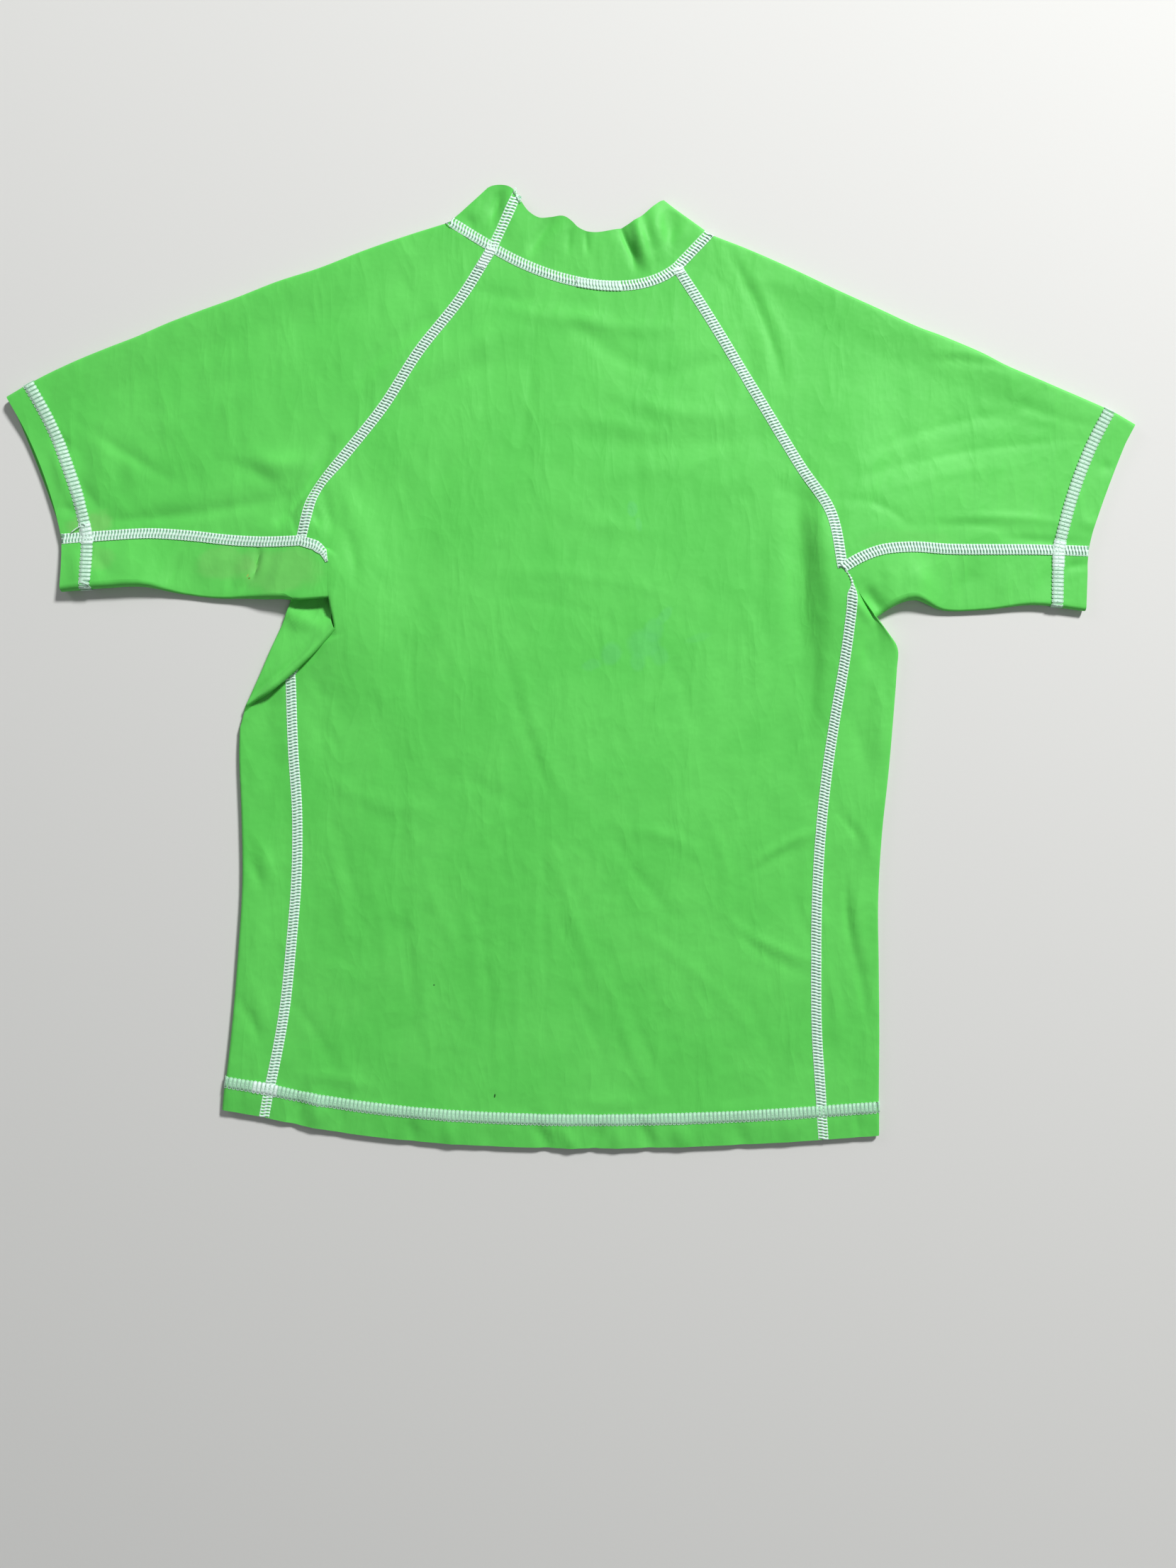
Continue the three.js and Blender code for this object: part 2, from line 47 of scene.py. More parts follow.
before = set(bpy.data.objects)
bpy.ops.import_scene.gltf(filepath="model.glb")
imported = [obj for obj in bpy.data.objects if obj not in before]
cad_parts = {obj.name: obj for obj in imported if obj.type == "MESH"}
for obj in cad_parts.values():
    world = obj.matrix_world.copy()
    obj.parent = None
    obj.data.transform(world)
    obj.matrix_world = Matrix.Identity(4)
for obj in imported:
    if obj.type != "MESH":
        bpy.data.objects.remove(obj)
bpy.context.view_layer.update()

MM = 0.001
BODY = "root"
CLOTH_SLOT = "swim_jersey"
THREAD_SLOT = "seam_thread"

# ---------------------------------------------------------------- layers, in millimetres
LOWER_LAYER = 1.25  # middle of the lower layer, which leaves room for the stitches under it
REST_HEIGHT = 3.4  # middle of the upper layer
LEAST_HEIGHT = 2.45  # least height of that, in a trough
SEAM_REACH = 24.0  # how far a lifted seam raises the cloth beside it
SLEEVE_REACH = {"left": 28.0, "right": 110.0}  # the same on the sleeves
SWELL_REACH = 11.0  # the same where a seam only makes up the difference to a swell of the back panel
FOLD_REACH = 30.0  # how far a full folded edge raises the cloth beside it
COLLAR_RISE = 1.6  # extra height of the back of the collar
COLLAR_SPARE = 0.4  # how much more its doubled cloth is kept above the lower layer
LEAST_BLEND = 0.4  # how roundly a trough ends on the least height
CURL_RADIUS = 2.0  # of the back panel's edge where it is rolled over as a fold
SEAM_LAP = 0.25  # how far the left strip laps over the back panel where no stitches cover their seam
CREASE_GAIN = 1.35  # height of every crease, as a share of its row's height
CREASE_SPREAD = 0.85  # and its width, as a share of its row's width
CREASE_ENDS = 0.33  # height of a crease at its ends, as a share of its middle
SKIN = 0.35  # from the middle surface of single cloth to its outer skin
CROSSING_LIFT = 0.25  # the underarm seams are sewn over the ends of the raglans and sides

# ---------------------------------------------------------------- tables of the cut
SECTION_COLUMNS = "seamX seamY foldX foldY underX underY rise seamLift foldLift bow"
PLAN_COLUMNS = ("seamX", "seamY", "underX", "underY")


def table(columns, rows):
    """Rows of numbers under named columns, as one array for each column."""
    values = np.array(rows, float)
    return {name: values[:, i] for i, name in enumerate(columns.split())}


# Sleeve sections from the neck down the raglan seam: seam on the back raglan, fold on the shoulder
# edge, under on the front raglan. rise lifts a section, the lifts raise the cloth beside its seam and
# its fold, and bow curves the upper half sideways.
RAGLAN = {
    "left": [
        [-60, 284, -89, 300, -78, 268, 0.6, 0, 1, 0],
        [-80, 250, -115, 291, -92, 238, 0, 0, 1.4, 0],
        [-107, 213, -146, 279, -112, 206, 0, 0, 1.8, 0],
        [-129, 176, -176, 266, -133, 172, 0, 0, 2, 0],
        [-155, 140, -206, 255, -156, 138, 0, 1.2, 2.2, 0],
        [-173, 115, -231, 244, -172, 112, 0, 3.2, 2.4, 0],
        [-181, 82, -256, 234, -179, 80, 0, 4.2, 2.4, 0],
    ],
    "right": [
        [64, 275, 85, 298, 73, 264, 0.6, 0, 1, 0],
        [84, 247, 111, 289, 90, 236, 0, 0, 1.4, 0],
        [106, 214, 141, 277, 110, 206, 0, 0, 1.8, 0],
        [129, 179, 171, 264, 132, 173, 0, 0, 2, 0],
        [152, 144, 200, 252, 153, 141, 0, 0.5, 2.2, 0],
        [172, 114, 226, 241, 170, 112, 0, 4.8, 2.4, 0],
        [181, 76, 252, 232, 179, 76, 0, 7.6, 2.4, 0],
    ],
}

# Sections along the underarm seam, from the armpit out to the cuff: the sleeve runs up to the shoulder
# edge (fold) and the side panel down to the lower edge (lower).
UNDERARM_COLUMNS = (
    "seamX seamY foldX foldY lowerX lowerY underX underY rise seamLift foldLift lowerLift bow lowerBow"
)
UNDERARM = {
    "left": [
        [-203, 81, -275, 226, -216, 43, -202, 80, 0, 1.6, 2.4, 2.6, 0, 0],
        [-229, 81.5, -296, 216, -238, 42.7, -229, 81, 0, 0, 2.4, 0.2, 0, 0],
        [-256, 83.5, -317, 207, -262, 44.8, -256, 82, 0, 0, 2.4, 0.6, -0.2, 0],
        [-283, 84, -338, 197.5, -286, 48.2, -283, 82.5, 0.1, 0.2, 2.2, 5.6, -1, 0],
        [-311, 81.5, -360, 186, -312, 46.4, -311, 80.5, 0.4, 0.4, 2, 5.8, -2.4, 0.6],
        [-342, 78, -382, 172, -341, 43.4, -342, 78, 1.2, 0, 1.6, 3.2, -4.4, 0.4],
    ],
    "right": [
        [192, 83, 270, 225, 213, 50, 192, 82, 0, 7, 2.4, 5.6, 0, 0],
        [206, 89, 287, 217, 222, 55, 206, 87, 0, 5.8, 2.4, 6.4, 0, 0],
        [225, 92, 305, 210, 232, 57.3, 225, 90, 0, 4.2, 2.4, 6.2, 0, 0],
        [254, 92, 323, 203, 252, 51.4, 254, 91, 0, 2, 2.2, 0.6, 0.2, 0],
        [283, 93, 341, 196, 280, 53, 283, 92, 0.1, 0.8, 2, 0.2, 0.8, 0],
        [314, 94, 358, 189, 312, 57.2, 314, 93, 0.4, 0, 1.6, 1.6, 2, -0.3],
        [346.6, 94, 375, 180, 346.4, 54.6, 346.6, 94, 1, 0, 1, 0.6, 3.4, 0],
    ],
}

# Side panel sections from the hem up to the armpit.
SIDE = {
    "left": [
        [-193, -305, -221, -301, -190, -304, 0.3, 0, 0.6, 0],
        [-190.5, -289, -220.2, -288.5, -188, -289, 1.1, 0, 0.9, 0],
        [-188, -275, -219, -277, -186, -275, 0.8, 0, 1.4, 0],
        [-182, -233, -216, -235, -181, -234, 0, 0, 2, 0],
        [-179, -190, -214, -190, -178, -190, 0, 0, 2, 0],
        [-177, -145, -213, -148, -177, -146, 0, 0, 2, 0],
        [-178, -100, -215, -105, -178, -101, 0, 0.3, 2, 0],
        [-182, -57, -218, -66, -180, -60, 0, 1, 1.6, 0],
        [-185.3, -7, -218.5, -45, -182, -32, 0, 1.7, 0.6, 0],
    ],
    "right": [
        [183, -307, 220, -303, 184, -305, 0.3, 0, 0.2, 0],
        [181.2, -291, 219.4, -289, 182, -290, 1.1, 0, 0.2, 0],
        [180, -277, 219, -275, 180, -276, 0.8, 0, 0.2, 0],
        [176, -235, 218, -235, 177, -235, 0.2, 0, 0.3, 0],
        [174, -190, 216, -190, 175, -190, 0.2, 0, 0.6, 0],
        [173, -145, 214, -145, 174, -145, 0.2, 0, 1, 0],
        [174, -100, 215, -100, 174, -100, 0.2, 0, 1, 0],
        [177, -57, 218, -58, 176, -57, 0.1, 0.6, 1.2, 0],
        [181, -20, 220, -18, 178, -20, 0, 2.2, 1.6, 0],
        [185, 12, 221, 10, 180, 10, 0, 3.7, 2.2, 0],
        [187, 35, 221, 24, 181, 32, 0, 5.8, 2.8, 0],
        [188, 56, 215, 33, 181, 50, 0, 7.3, 3.8, 0],
        [187, 68, 208, 41, 181, 64, 0, 7.6, 4.6, 0],
    ],
}

# At each armpit the side panel's outline turns here: place and lift of the lower edge.
RIGHT_ARMPIT = [205, 44, 4.6]
LEFT_ARMPIT = [[-193, 43.2, 7.4], [-196.5, 43.1, 6.8], [-199.7, 43.0, 6.3], [-203, 42.8, 5.8]]

# The left armpit is tucked: the back panel's edge runs under the tuck and then up the crease beside
# the armpit. curl rounds the edge over, as a fold.
CREASE_COLUMNS = "seamX seamY underX underY rise seamLift curl"
LEFT_CREASE = [
    [-176, 13.5, -181, -8, 0, 1, 0],
    [-157.2, 22, -180, 16, 0, 6, 1],
    [-156.6, 26, -180, 20, 0, 6.6, 1],
    [-157.8, 32, -179.8, 26, 0, 7, 1],
    [-159.6, 39, -179.6, 33, 0, 7.4, 1],
    [-160.5, 46, -179.5, 41, 0, 7.6, 0],
    [-162.4, 68, -179, 62, 0, 6.6, 0],
    [-165.2, 74.6, -179, 68, 0, 6.2, 0],
    [-170.6, 78.9, -179, 73, 0, 5.6, 0],
]
UNDER_STRETCH = [(-182, -32), (-181, -8), (-180, 16), (-179.5, 40), (-179, 62), (-179, 80)]

# Two darted folds of the left side panel, closed at the outline's tip and open towards the crease.
# Each goes in to its inner fold, out to its outer fold and in again, through three levels, and along
# the outline it climbs from tipLow to tipHigh. spread opens the turns there, and bow curves the folds.
TUCKS = table(
    "tipX tipY innerX innerY outerX outerY below between above tipLow tipHigh spread underFrom underTo bow",
    [
        [-215.5, -31.5, -176, 13.5, -156.8, 25, 4.4, 7, 10.8, 3.8, 6.8, 2.4, 0.1, 0.3, 2.8],
        [-187, 43, -161.9, 53, -160.5, 46, 3.2, 8.2, 10.8, 4, 10, 2.4, 0.62, 0.78, 0],
    ],
)

# Sections of the flap between the two tucks, sloping from the seam to the fold.
FLAP = table(
    "seamX seamY foldX foldY under seamHeight foldHeight",
    [
        [-158.4, 28.5, -206.5, -10, 0.38, 8.8, 6.8],
        [-159.6, 35, -199, 10, 0.46, 4.6, 5.8],
        [-161, 46, -191.3, 29, 0.54, 2.4, 3.4],
    ],
)

# Neck and hem edges of the two large panels and the top of the collar, as cubic curves.
BACK_NECK = (-60, 284, -22, 262, 36, 250, 64, 275)
FRONT_NECK = (-78, 268, -66, 214, 58, 204, 73, 264)
BACK_HEM = (-193, -305, -90, -327, 60, -320, 183, -307)
FRONT_HEM = (-190, -304, -90, -322, 60, -316, 184, -305)
COLLAR_FRONT = (-58, 298, -34, 250, 34, 248, 52, 293)

# Top edge of the collar's back half, from its left fold to its right one. The stations are shares of
# the neck edge below, which lean the collar outwards at its folds.
COLLAR_TOP = table(
    "station x y",
    [
        [0, -65, 322.3],
        [0.04, -61.5, 324.6],
        [0.08, -55.5, 325.7],
        [0.12, -50, 324.5],
        [0.155, -45.8, 321],
        [0.19, -42.6, 316],
        [0.225, -38.8, 310.6],
        [0.265, -34.8, 307],
        [0.31, -29, 304.4],
        [0.36, -21.5, 305.4],
        [0.43, -12, 305.5],
        [0.47, -7, 302.4],
        [0.5, -3.6, 299.2],
        [0.55, 2.8, 296.4],
        [0.6, 9.5, 295.8],
        [0.66, 19.1, 297.4],
        [0.71, 26.7, 299.8],
        [0.77, 35.2, 304.3],
        [0.83, 41.8, 309.4],
        [0.9, 47.4, 314.5],
        [0.96, 51.6, 317.9],
        [1, 53.8, 318.6],
    ],
)

# Creases of the upper layer, ridges (+) and troughs (-): line, width, height and sideways bow.
CREASE_ROWS = table(
    "fromX fromY toX toY width height bow",
    [
        # beside the right armpit
        [152, 128, 156, 24, 8, -1.2, -1], [165, 36, 163, -38, 3.5, -0.5, 2],
        [137, 118, 141, 20, 9, 0.5, 1], [152, -10, 170, -70, 6, 0.3, -2],
        [206, 76, 208, 56, 5, -0.6, 1], [196, 64, 211, 46, 5.4, -2.1, 0],
        [190, 56, 204, 40, 4.6, 1.3, 0], [196, 30, 204, 8, 5, -0.4, 1],
        # beside the left armpit
        [-172, 103, -170, 92, 3.6, -1.2, 0], [-154, 124, -147, 90, 6, 1, 0],
        [-168, 116, -161, 90, 4, -1.2, 0], [-152, 92, -142, 54, 4, -0.8, 1.5],
        [-146, 112, -132, 66, 8, 0.5, 2], [-170, -8, -158, -24, 5, -0.5, -2],
        [-168, -40, -150, -56, 6, -0.4, 0],
        # upper back
        [-121, 186, -30, 230, 10, 0.7, 8], [-112, 176, -40, 208, 8, -0.5, 7],
        [-75, 258, -30, 249, 6, -0.5, -2], [-52, 246, 18, 238, 7, 0.5, -4],
        [-21, 244, 68, 236, 6.5, 0.6, -6], [-6, 238, 60, 202, 7, -0.7, -5],
        [22, 190, 112, 178, 8, 0.7, -6], [60, 200, 108, 214, 7, -0.5, 4],
        [-14, 158, 145, 166, 8, -0.5, -5], [-18, 174, 60, 160, 7, 0.4, 3],
        [-30, 232, -38, 140, 4.5, -0.4, 2], [8, 132, 84, 138, 8, 0.35, 3],
        [-6, 108, 62, 98, 7, 0.4, -3], [40, 148, 44, 104, 6, -0.4, 2],
        [-70, 150, -100, 110, 7, -0.45, -3], [-112, 146, -104, 118, 7, 0.5, 0],
        [88, 126, 140, 160, 9, 0.45, -5],
        # middle of the back
        [-60, 66, 70, 54, 6, 0.3, 6], [-50, 50, 30, 34, 6, -0.28, 4],
        [-40, 4, -6, -84, 4, -0.42, -3], [-32, 2, 3, -87, 4.5, 0.42, -3],
        [110, 62, 132, -14, 5, 0.35, 5], [-104, 64, -70, -30, 5, 0.3, 5],
        [-118, 30, -96, -52, 5, -0.3, 4], [60, 20, 96, -64, 5, -0.3, 6],
        [-160, -76, -92, -96, 7, 0.4, -4], [-84, -70, -24, -94, 6, -0.35, 3],
        # lower back
        [-18, -37, -7, -265, 3.2, -0.34, 2], [-5, -118, 33, -213, 3.6, 0.5, -3],
        [-13, -124, 24, -216, 3.4, -0.42, -3], [36, -108, 82, -164, 5, -0.6, -4],
        [48, -104, 96, -122, 5, 0.5, 5], [96, -92, 112, -152, 5, 0.45, 5],
        [131, -124, 172, -100, 3.6, 0.7, 3], [124, -132, 166, -112, 4, -0.45, 3],
        [118, -164, 174, -188, 3.8, 0.7, -3], [122, -172, 172, -198, 4, -0.4, -3],
        [160, -150, 170, -176, 4, -0.5, 0], [-160, -110, -142, -190, 4, 0.4, 3],
        [-152, -106, -132, -186, 4, -0.35, 3], [-128, -128, -112, -230, 4.5, 0.3, 3],
        [-108, -158, -92, -262, 3.6, -0.4, 2], [-100, -156, -84, -258, 3.6, 0.36, 2],
        [-96, -116, -66, -190, 4.5, 0.3, -4], [-66, -150, -50, -258, 4, 0.34, 4],
        [-58, -156, -42, -262, 3.4, -0.34, 4], [-30, -170, -26, -286, 3.4, 0.34, 2],
        [2, -200, 40, -276, 4, -0.3, 3], [34, -196, 68, -282, 3.6, 0.4, -4],
        [44, -198, 78, -276, 3.6, -0.36, -4], [52, -170, 132, -236, 5, 0.4, 5],
        [88, -196, 110, -282, 4, 0.3, 3], [124, -206, 150, -280, 4.5, -0.35, 4],
        [-150, -204, -134, -282, 4.5, 0.35, -3], [-178, -226, -150, -268, 4, -0.5, 3],
        [-168, -276, -118, -284, 5, 0.6, 2], [10, -286, 70, -284, 5.5, 0.4, -2],
        [100, -290, 160, -280, 5, 0.35, -2],
        # hem below its stitching
        [-168, -291, -174, -310, 4.5, -2.2, 0], [-156, -292, -159, -310, 5, 1.5, 0],
        [-140, -296, -143, -314, 5, -0.6, 0], [-96, -302, -92, -318, 5, -1, 0],
        [-70, -302, -66, -322, 5.5, 1, 0], [-40, -304, -42, -320, 5, -0.6, 0],
        [-9, -305, 0, -322, 4, -1.8, 0], [9, -305, 16, -322, 4.5, 1.3, 0],
        [33, -303, 28, -320, 3.6, -1.5, 0], [45, -303, 45, -320, 4.6, 0.9, 0],
        [60, -300, 68, -318, 4.4, -1.5, 0], [84, -300, 90, -316, 6, 1, 0],
        [124, -298, 130, -314, 5, -0.9, 0], [160, -294, 158, -310, 6, 0.7, 0],
        [204, -286, 207, -304, 4, -0.7, 0], [-208, -286, -212, -302, 4, -0.6, 0],
        # left sleeve
        [-148, 191, -102, 235, 6, -1.2, 3], [-140, 186, -104, 222, 6, 0.6, 3],
        [-197, 96, -163, 150, 5, -3, -4], [-206, 112, -172, 156, 8, 0.6, -3],
        [-312, 92, -194, 112, 4.4, -1, -3], [-300, 104, -204, 124, 8, 0.5, -3],
        [-240, 134, -196, 116, 6, -0.6, 4], [-322, 152, -318, 108, 9, 0.9, 3],
        [-334, 158, -268, 120, 5, -0.6, -2], [-302, 136, -296, 112, 6, 0.7, 3],
        [-334, 120, -312, 96, 5, -0.7, -2], [-290, 160, -262, 148, 7, 0.3, 3],
        [-216, 137, -184, 135, 9, 1.8, -3], [-270, 176, -210, 190, 9, -0.3, 4],
        [-236, 164, -190, 208, 10, 0.35, 5], [-196, 222, -150, 246, 8, -0.3, -4],
        [-120, 262, -108, 236, 6, -0.4, 2],
        # left cuff
        [-352, 146, -334, 138, 5, -0.6, 0], [-349, 142, -337, 106, 5.5, 1.1, -1],
        [-344, 100, -332, 96, 4.5, -0.6, 0],
        # left underarm strip
        [-209.4, 76, -213, 57, 2, -1.8, 0.5], [-232, 75, -240, 58, 5, 0.8, 0],
        [-226, 66, -228, 46, 4, -0.7, 0], [-262, 68, -272, 50, 4, -0.9, 0],
        [-318, 70, -308, 52, 5, -0.8, 0], [-332, 72, -330, 50, 5, 0.7, 0],
        [-192, 70, -200, 50, 5, 0.6, 0], [-213, 57, -220, 47, 2.4, -0.7, 0],
        [-204, 74, -208, 58, 3.6, 0.5, 0], [-272, 76, -282, 54, 5, -0.5, 0],
        [-250, 72, -244, 52, 6, 0.5, 0], [-296, 74, -300, 54, 6, 0.5, 0],
        # right sleeve
        [96, 290, 140, 196, 4, -0.55, 4], [104, 288, 146, 204, 4.5, 0.35, 4],
        [112, 236, 115, 186, 6.5, -0.5, 2], [122, 238, 124, 196, 6, 0.3, 2],
        [186, 136, 332, 168, 3.6, -0.42, 5], [188, 147, 322, 180, 6, 0.32, 5],
        [192, 152, 300, 187, 3.5, -0.28, 5], [200, 128, 300, 150, 5, 0.28, 3],
        [236, 218, 288, 213, 3.6, -0.7, 3], [244, 226, 296, 206, 4.6, 0.4, 2],
        [288, 196, 350, 178, 4, -0.4, -3], [268, 192, 330, 182, 5, 0.35, -3],
        [178, 121, 224, 107, 3.6, -0.6, 6], [226, 106, 300, 106, 4, -0.35, 3],
        [252, 112, 330, 112, 3.6, 0.5, 3], [290, 102, 340, 100, 3.4, -0.5, -1],
        [110, 268, 150, 262, 6, 0.3, 2],
        # right cuff and underarm strip
        [352, 152, 362, 150, 5, -0.5, 0], [340, 116, 352, 110, 5, 0.5, 0],
        [228, 78, 240, 64, 8, 0.9, 0], [272, 80, 262, 62, 7, -0.6, 0],
        [296, 84, 290, 62, 6, 0.6, 0], [322, 82, 316, 62, 6, -0.5, 0],
        [346, 86, 332, 82, 4, -0.8, 0],
        # side panels
        [-208, -128, -201, -152, 4, -0.9, 0], [-200, -122, -192, -150, 5, 0.6, 0],
        [-211, -226, -198, -252, 4, -0.8, 0], [-202, -216, -194, -246, 5, 0.5, 0],
        [-190, -60, -200, -84, 5, -0.5, 0], [-204, -66, -210, -92, 5, 0.5, 0],
        [-196, -170, -206, -204, 6, 0.4, 0], [201, -96, 208, -112, 5, 0.8, 0],
        [186, -88, 204, -108, 4, -0.6, 0], [193, -134, 199, -180, 3.6, -1, -2],
        [199, -180, 208, -228, 3.6, -0.9, 2], [200, -138, 208, -190, 5, 0.7, -2],
        [182, -190, 192, -250, 5, 0.5, 2], [190, -20, 206, -70, 7, -0.6, 3],
        [204, 8, 212, -50, 6, 0.6, 3],
        # flap of the tucked armpit
        [-170.2, 15.4, -215.1, -26.1, 2.4, -1, 1.6], [-167.9, 12.9, -213.3, -28.5, 1.2, 0.3, 1.6],
        [-196, 36, -166, 25, 7, 2, 0],
        # collar
        [25, 304, 35, 282, 2.8, -1.2, -1.5], [32, 288, 37, 272, 4, -1, 0],
        [17, 302, 23, 280, 6, 0.5, 0], [35, 308, 44, 276, 5.5, 3, -1],
        [46, 316, 52, 286, 8, 2.6, 0], [58, 312, 54, 298, 5, -0.6, 0],
        [-19, 306, -35, 282, 5, -1.5, 0], [-10, 308, -24, 280, 6, 0.5, 0],
        [-9, 299, -9, 280, 3, -0.5, 0], [-42, 318, -48, 290, 8, 0.7, 0],
        [2, 297, 4, 282, 2.6, -0.5, 0], [12, 297, 14, 276, 5, 0.3, 0],
        [-56, 322, -61, 304, 4.6, -1.9, 0], [-47, 322, -53, 303, 5, 0.9, 0],
        [62, 306, 56, 290, 5, -1, 0], [70, 303, 62, 288, 5, 0.5, 0],
        [-80, 302, -72, 294, 5, -1.4, 0],
    ],
)

# ---------------------------------------------------------------- density of the grids
# Sub-rows between the side sections below the armpits,
SIDE_STEPS = [7, 6, 15, 17, 17, 17, 17, 14]
# and from the last of those up to the raglans, as many in all on the left as on the right
LEFT_CREASE_STEPS = [13, 7, 3, 3, 4, 4, 7, 3, 2, 4]
RIGHT_ARMPIT_STEPS = [13, 10, 9, 9, 9]
RAGLAN_STEPS = [15, 17, 16, 17, 13, 14]
UNDERARM_STEPS = {"left": [14, 14, 12, 12, 12, 12], "right": [7, 9, 11, 11, 12, 12, 13]}
# Sub-rows of the left side panel between the hem rows and its first tuck, the flap's three rows, the
# second tuck and the strip under the arm, and between the two folds of each tuck
TO_TUCK, TO_FLAP, FLAP_STEPS, FROM_FLAP, TO_STRIP = 13, 8, [8, 6], 5, 7
TUCK_STEPS = [8, 4]
TUCK_ANGLES = np.radians(np.linspace(0, 180, 9))  # sections round one fold of a tuck
PANEL_PITCH = 2.6  # column spacing of the back panel
EDGE_COLUMNS = np.array([0.0, 0.4, 0.9, 1.6, 2.4, 3.4])  # its columns near a seam, by distance
NEAR_FOLD = np.array([12.0, 9.5, 7.5, 5.5, 4.0])  # columns before a fold, by distance from it
FOLD_ANGLES = np.radians(np.linspace(90, -90, 13))  # columns round a fold
SLEEVE_SHARES = 54  # even columns of a sleeve's upper layer
SIDE_SHARES = 20  # and of a side panel's
LOWER_SHARES = 12  # even columns of the lower layer
COLLAR_STEPS = np.concatenate([[0, 0.03, 0.07], np.linspace(0.12, 1, 17)])  # shares of its height
FRONT_THINNING = 3  # the hidden front panel keeps one row and column of this many


# ---------------------------------------------------------------- small helpers
def unit(vectors):
    """Vectors of length one; a vector with no length points up."""
    lengths = np.linalg.norm(vectors, axis=-1, keepdims=True)
    up = np.zeros(vectors.shape[-1])
    up[-1] = 1.0
    return np.where(lengths > 1e-9, vectors / np.maximum(lengths, 1e-9), up)


def mix(a, b, share):
    """The first at share 0 and the second at share 1, in a straight line between."""
    return a + (b - a) * share


def smoothstep(values, low, high):
    """0 below low and 1 above high, with 3t2 - 2t3 between."""
    t = np.clip((values - low) / (high - low), 0, 1)
    return t * t * (3 - 2 * t)


def fade(distance, reach):
    """1 at the edge, falling smoothly to 0 at the reach: (1 - t2)2 of the share t of the reach."""
    t = np.minimum(np.abs(distance) / reach, 1)
    return (1 - t * t) ** 2


def cubic(curve, shares):
    """Points of a cubic curve (end, two handles, end) at the shares of its parameter."""
    p = np.array(curve, float).reshape(4, 2)
    t = np.asarray(shares, float)[..., None]
    return (1 - t) ** 3 * p[0] + 3 * (1 - t) ** 2 * t * p[1] + 3 * (1 - t) * t**2 * p[2] + t**3 * p[3]


def run_length(points):
    """Distance walked along a line of points, from 0 at its start."""
    return np.concatenate([[0], np.cumsum(np.linalg.norm(np.diff(points, axis=0), axis=1))])


def joined(*tables):
    """Tables one after the other, with the columns that all of them have."""
    shared = set.intersection(*(set(t) for t in tables))
    return {name: np.concatenate([t[name] for t in tables]) for name in shared}


def part_of(rows, start, stop):
    """Some of a table's rows."""
    return {name: values[start:stop] for name, values in rows.items()}


def turned(rows):
    """A table with its rows in reverse."""
    return {name: values[::-1] for name, values in rows.items()}


def plan(rows, which):
    """Plan points (n, 2) of one of a table's places."""
    x, y = (which + "X", which + "Y") if which else ("x", "y")
    return np.stack([rows[x], rows[y]], axis=-1)


def carried(at, values, steps, corners):
    """Values carried on between rows at the stations, with steps[i] sub-rows in piece i: cubic Hermite
    pieces whose slopes come from both neighbours, or from one side only at a corner row."""
    span = np.diff(at)
    rate = np.diff(values) / span
    slope = np.empty_like(values)
    slope[1:-1] = (span[:-1] * rate[1:] + span[1:] * rate[:-1]) / (span[:-1] + span[1:])
    slope[0], slope[-1] = rate[0], rate[-1]
    leave, arrive = slope[:-1].copy(), slope[1:].copy()
    for row in corners:
        arrive[row - 1], leave[row] = rate[row - 1], rate[row]
    piece = np.repeat(np.arange(len(span)), steps)
    t = np.concatenate([np.arange(n) / n for n in steps])
    start, end = values[piece], values[piece + 1]
    out = (2 * t**3 - 3 * t**2 + 1) * start + (3 * t**2 - 2 * t**3) * end
    out += span[piece] * ((t**3 - 2 * t**2 + t) * leave[piece] + (t**3 - t**2) * arrive[piece])
    return np.append(out, values[-1])


def refined(rows, steps, corners=(), cornered=PLAN_COLUMNS):
    """A table with sub-rows. Its stations are the distances along the seam."""
    at = run_length(plan(rows, "seam"))
    return {
        name: carried(at, values, steps, corners if name in cornered else ())
        for name, values in rows.items()
    }


# ---------------------------------------------------------------- cloth surfaces
def creases(x, y):
    """Height of all the creases at plan points. Each falls off as a bell curve away from its line, which
    bows sideways as a parabola. Along it the height goes as half a sine, on top of that of its ends."""
    total = np.zeros_like(x)
    c = CREASE_ROWS
    for i in range(len(c["width"])):
        ax, ay = c["fromX"][i], c["fromY"][i]
        dx, dy = c["toX"][i] - ax, c["toY"][i] - ay
        length = math.hypot(dx, dy)
        along = ((x - ax) * dx + (y - ay) * dy) / length
        t = np.clip(along / length, 0, 1)
        across = ((y - ay) * dx - (x - ax) * dy) / length - c["bow"][i] * 4 * t * (1 - t)
        distance = np.hypot(across, along - t * length)
        height = c["height"][i] * mix(np.sin(math.pi * t), 1, CREASE_ENDS) * CREASE_GAIN
        total += height * np.exp(-((distance / c["width"][i] / CREASE_SPREAD) ** 2))
    return total


def column_weights(shares):
    """How much of the upper layer each column of a section belongs to: 1 on it, 0 on the lower one."""
    turn = (1 + np.sin(FOLD_ANGLES)) / 2
    return np.concatenate([np.ones(shares + len(NEAR_FOLD)), turn, np.zeros(LOWER_SHARES)])


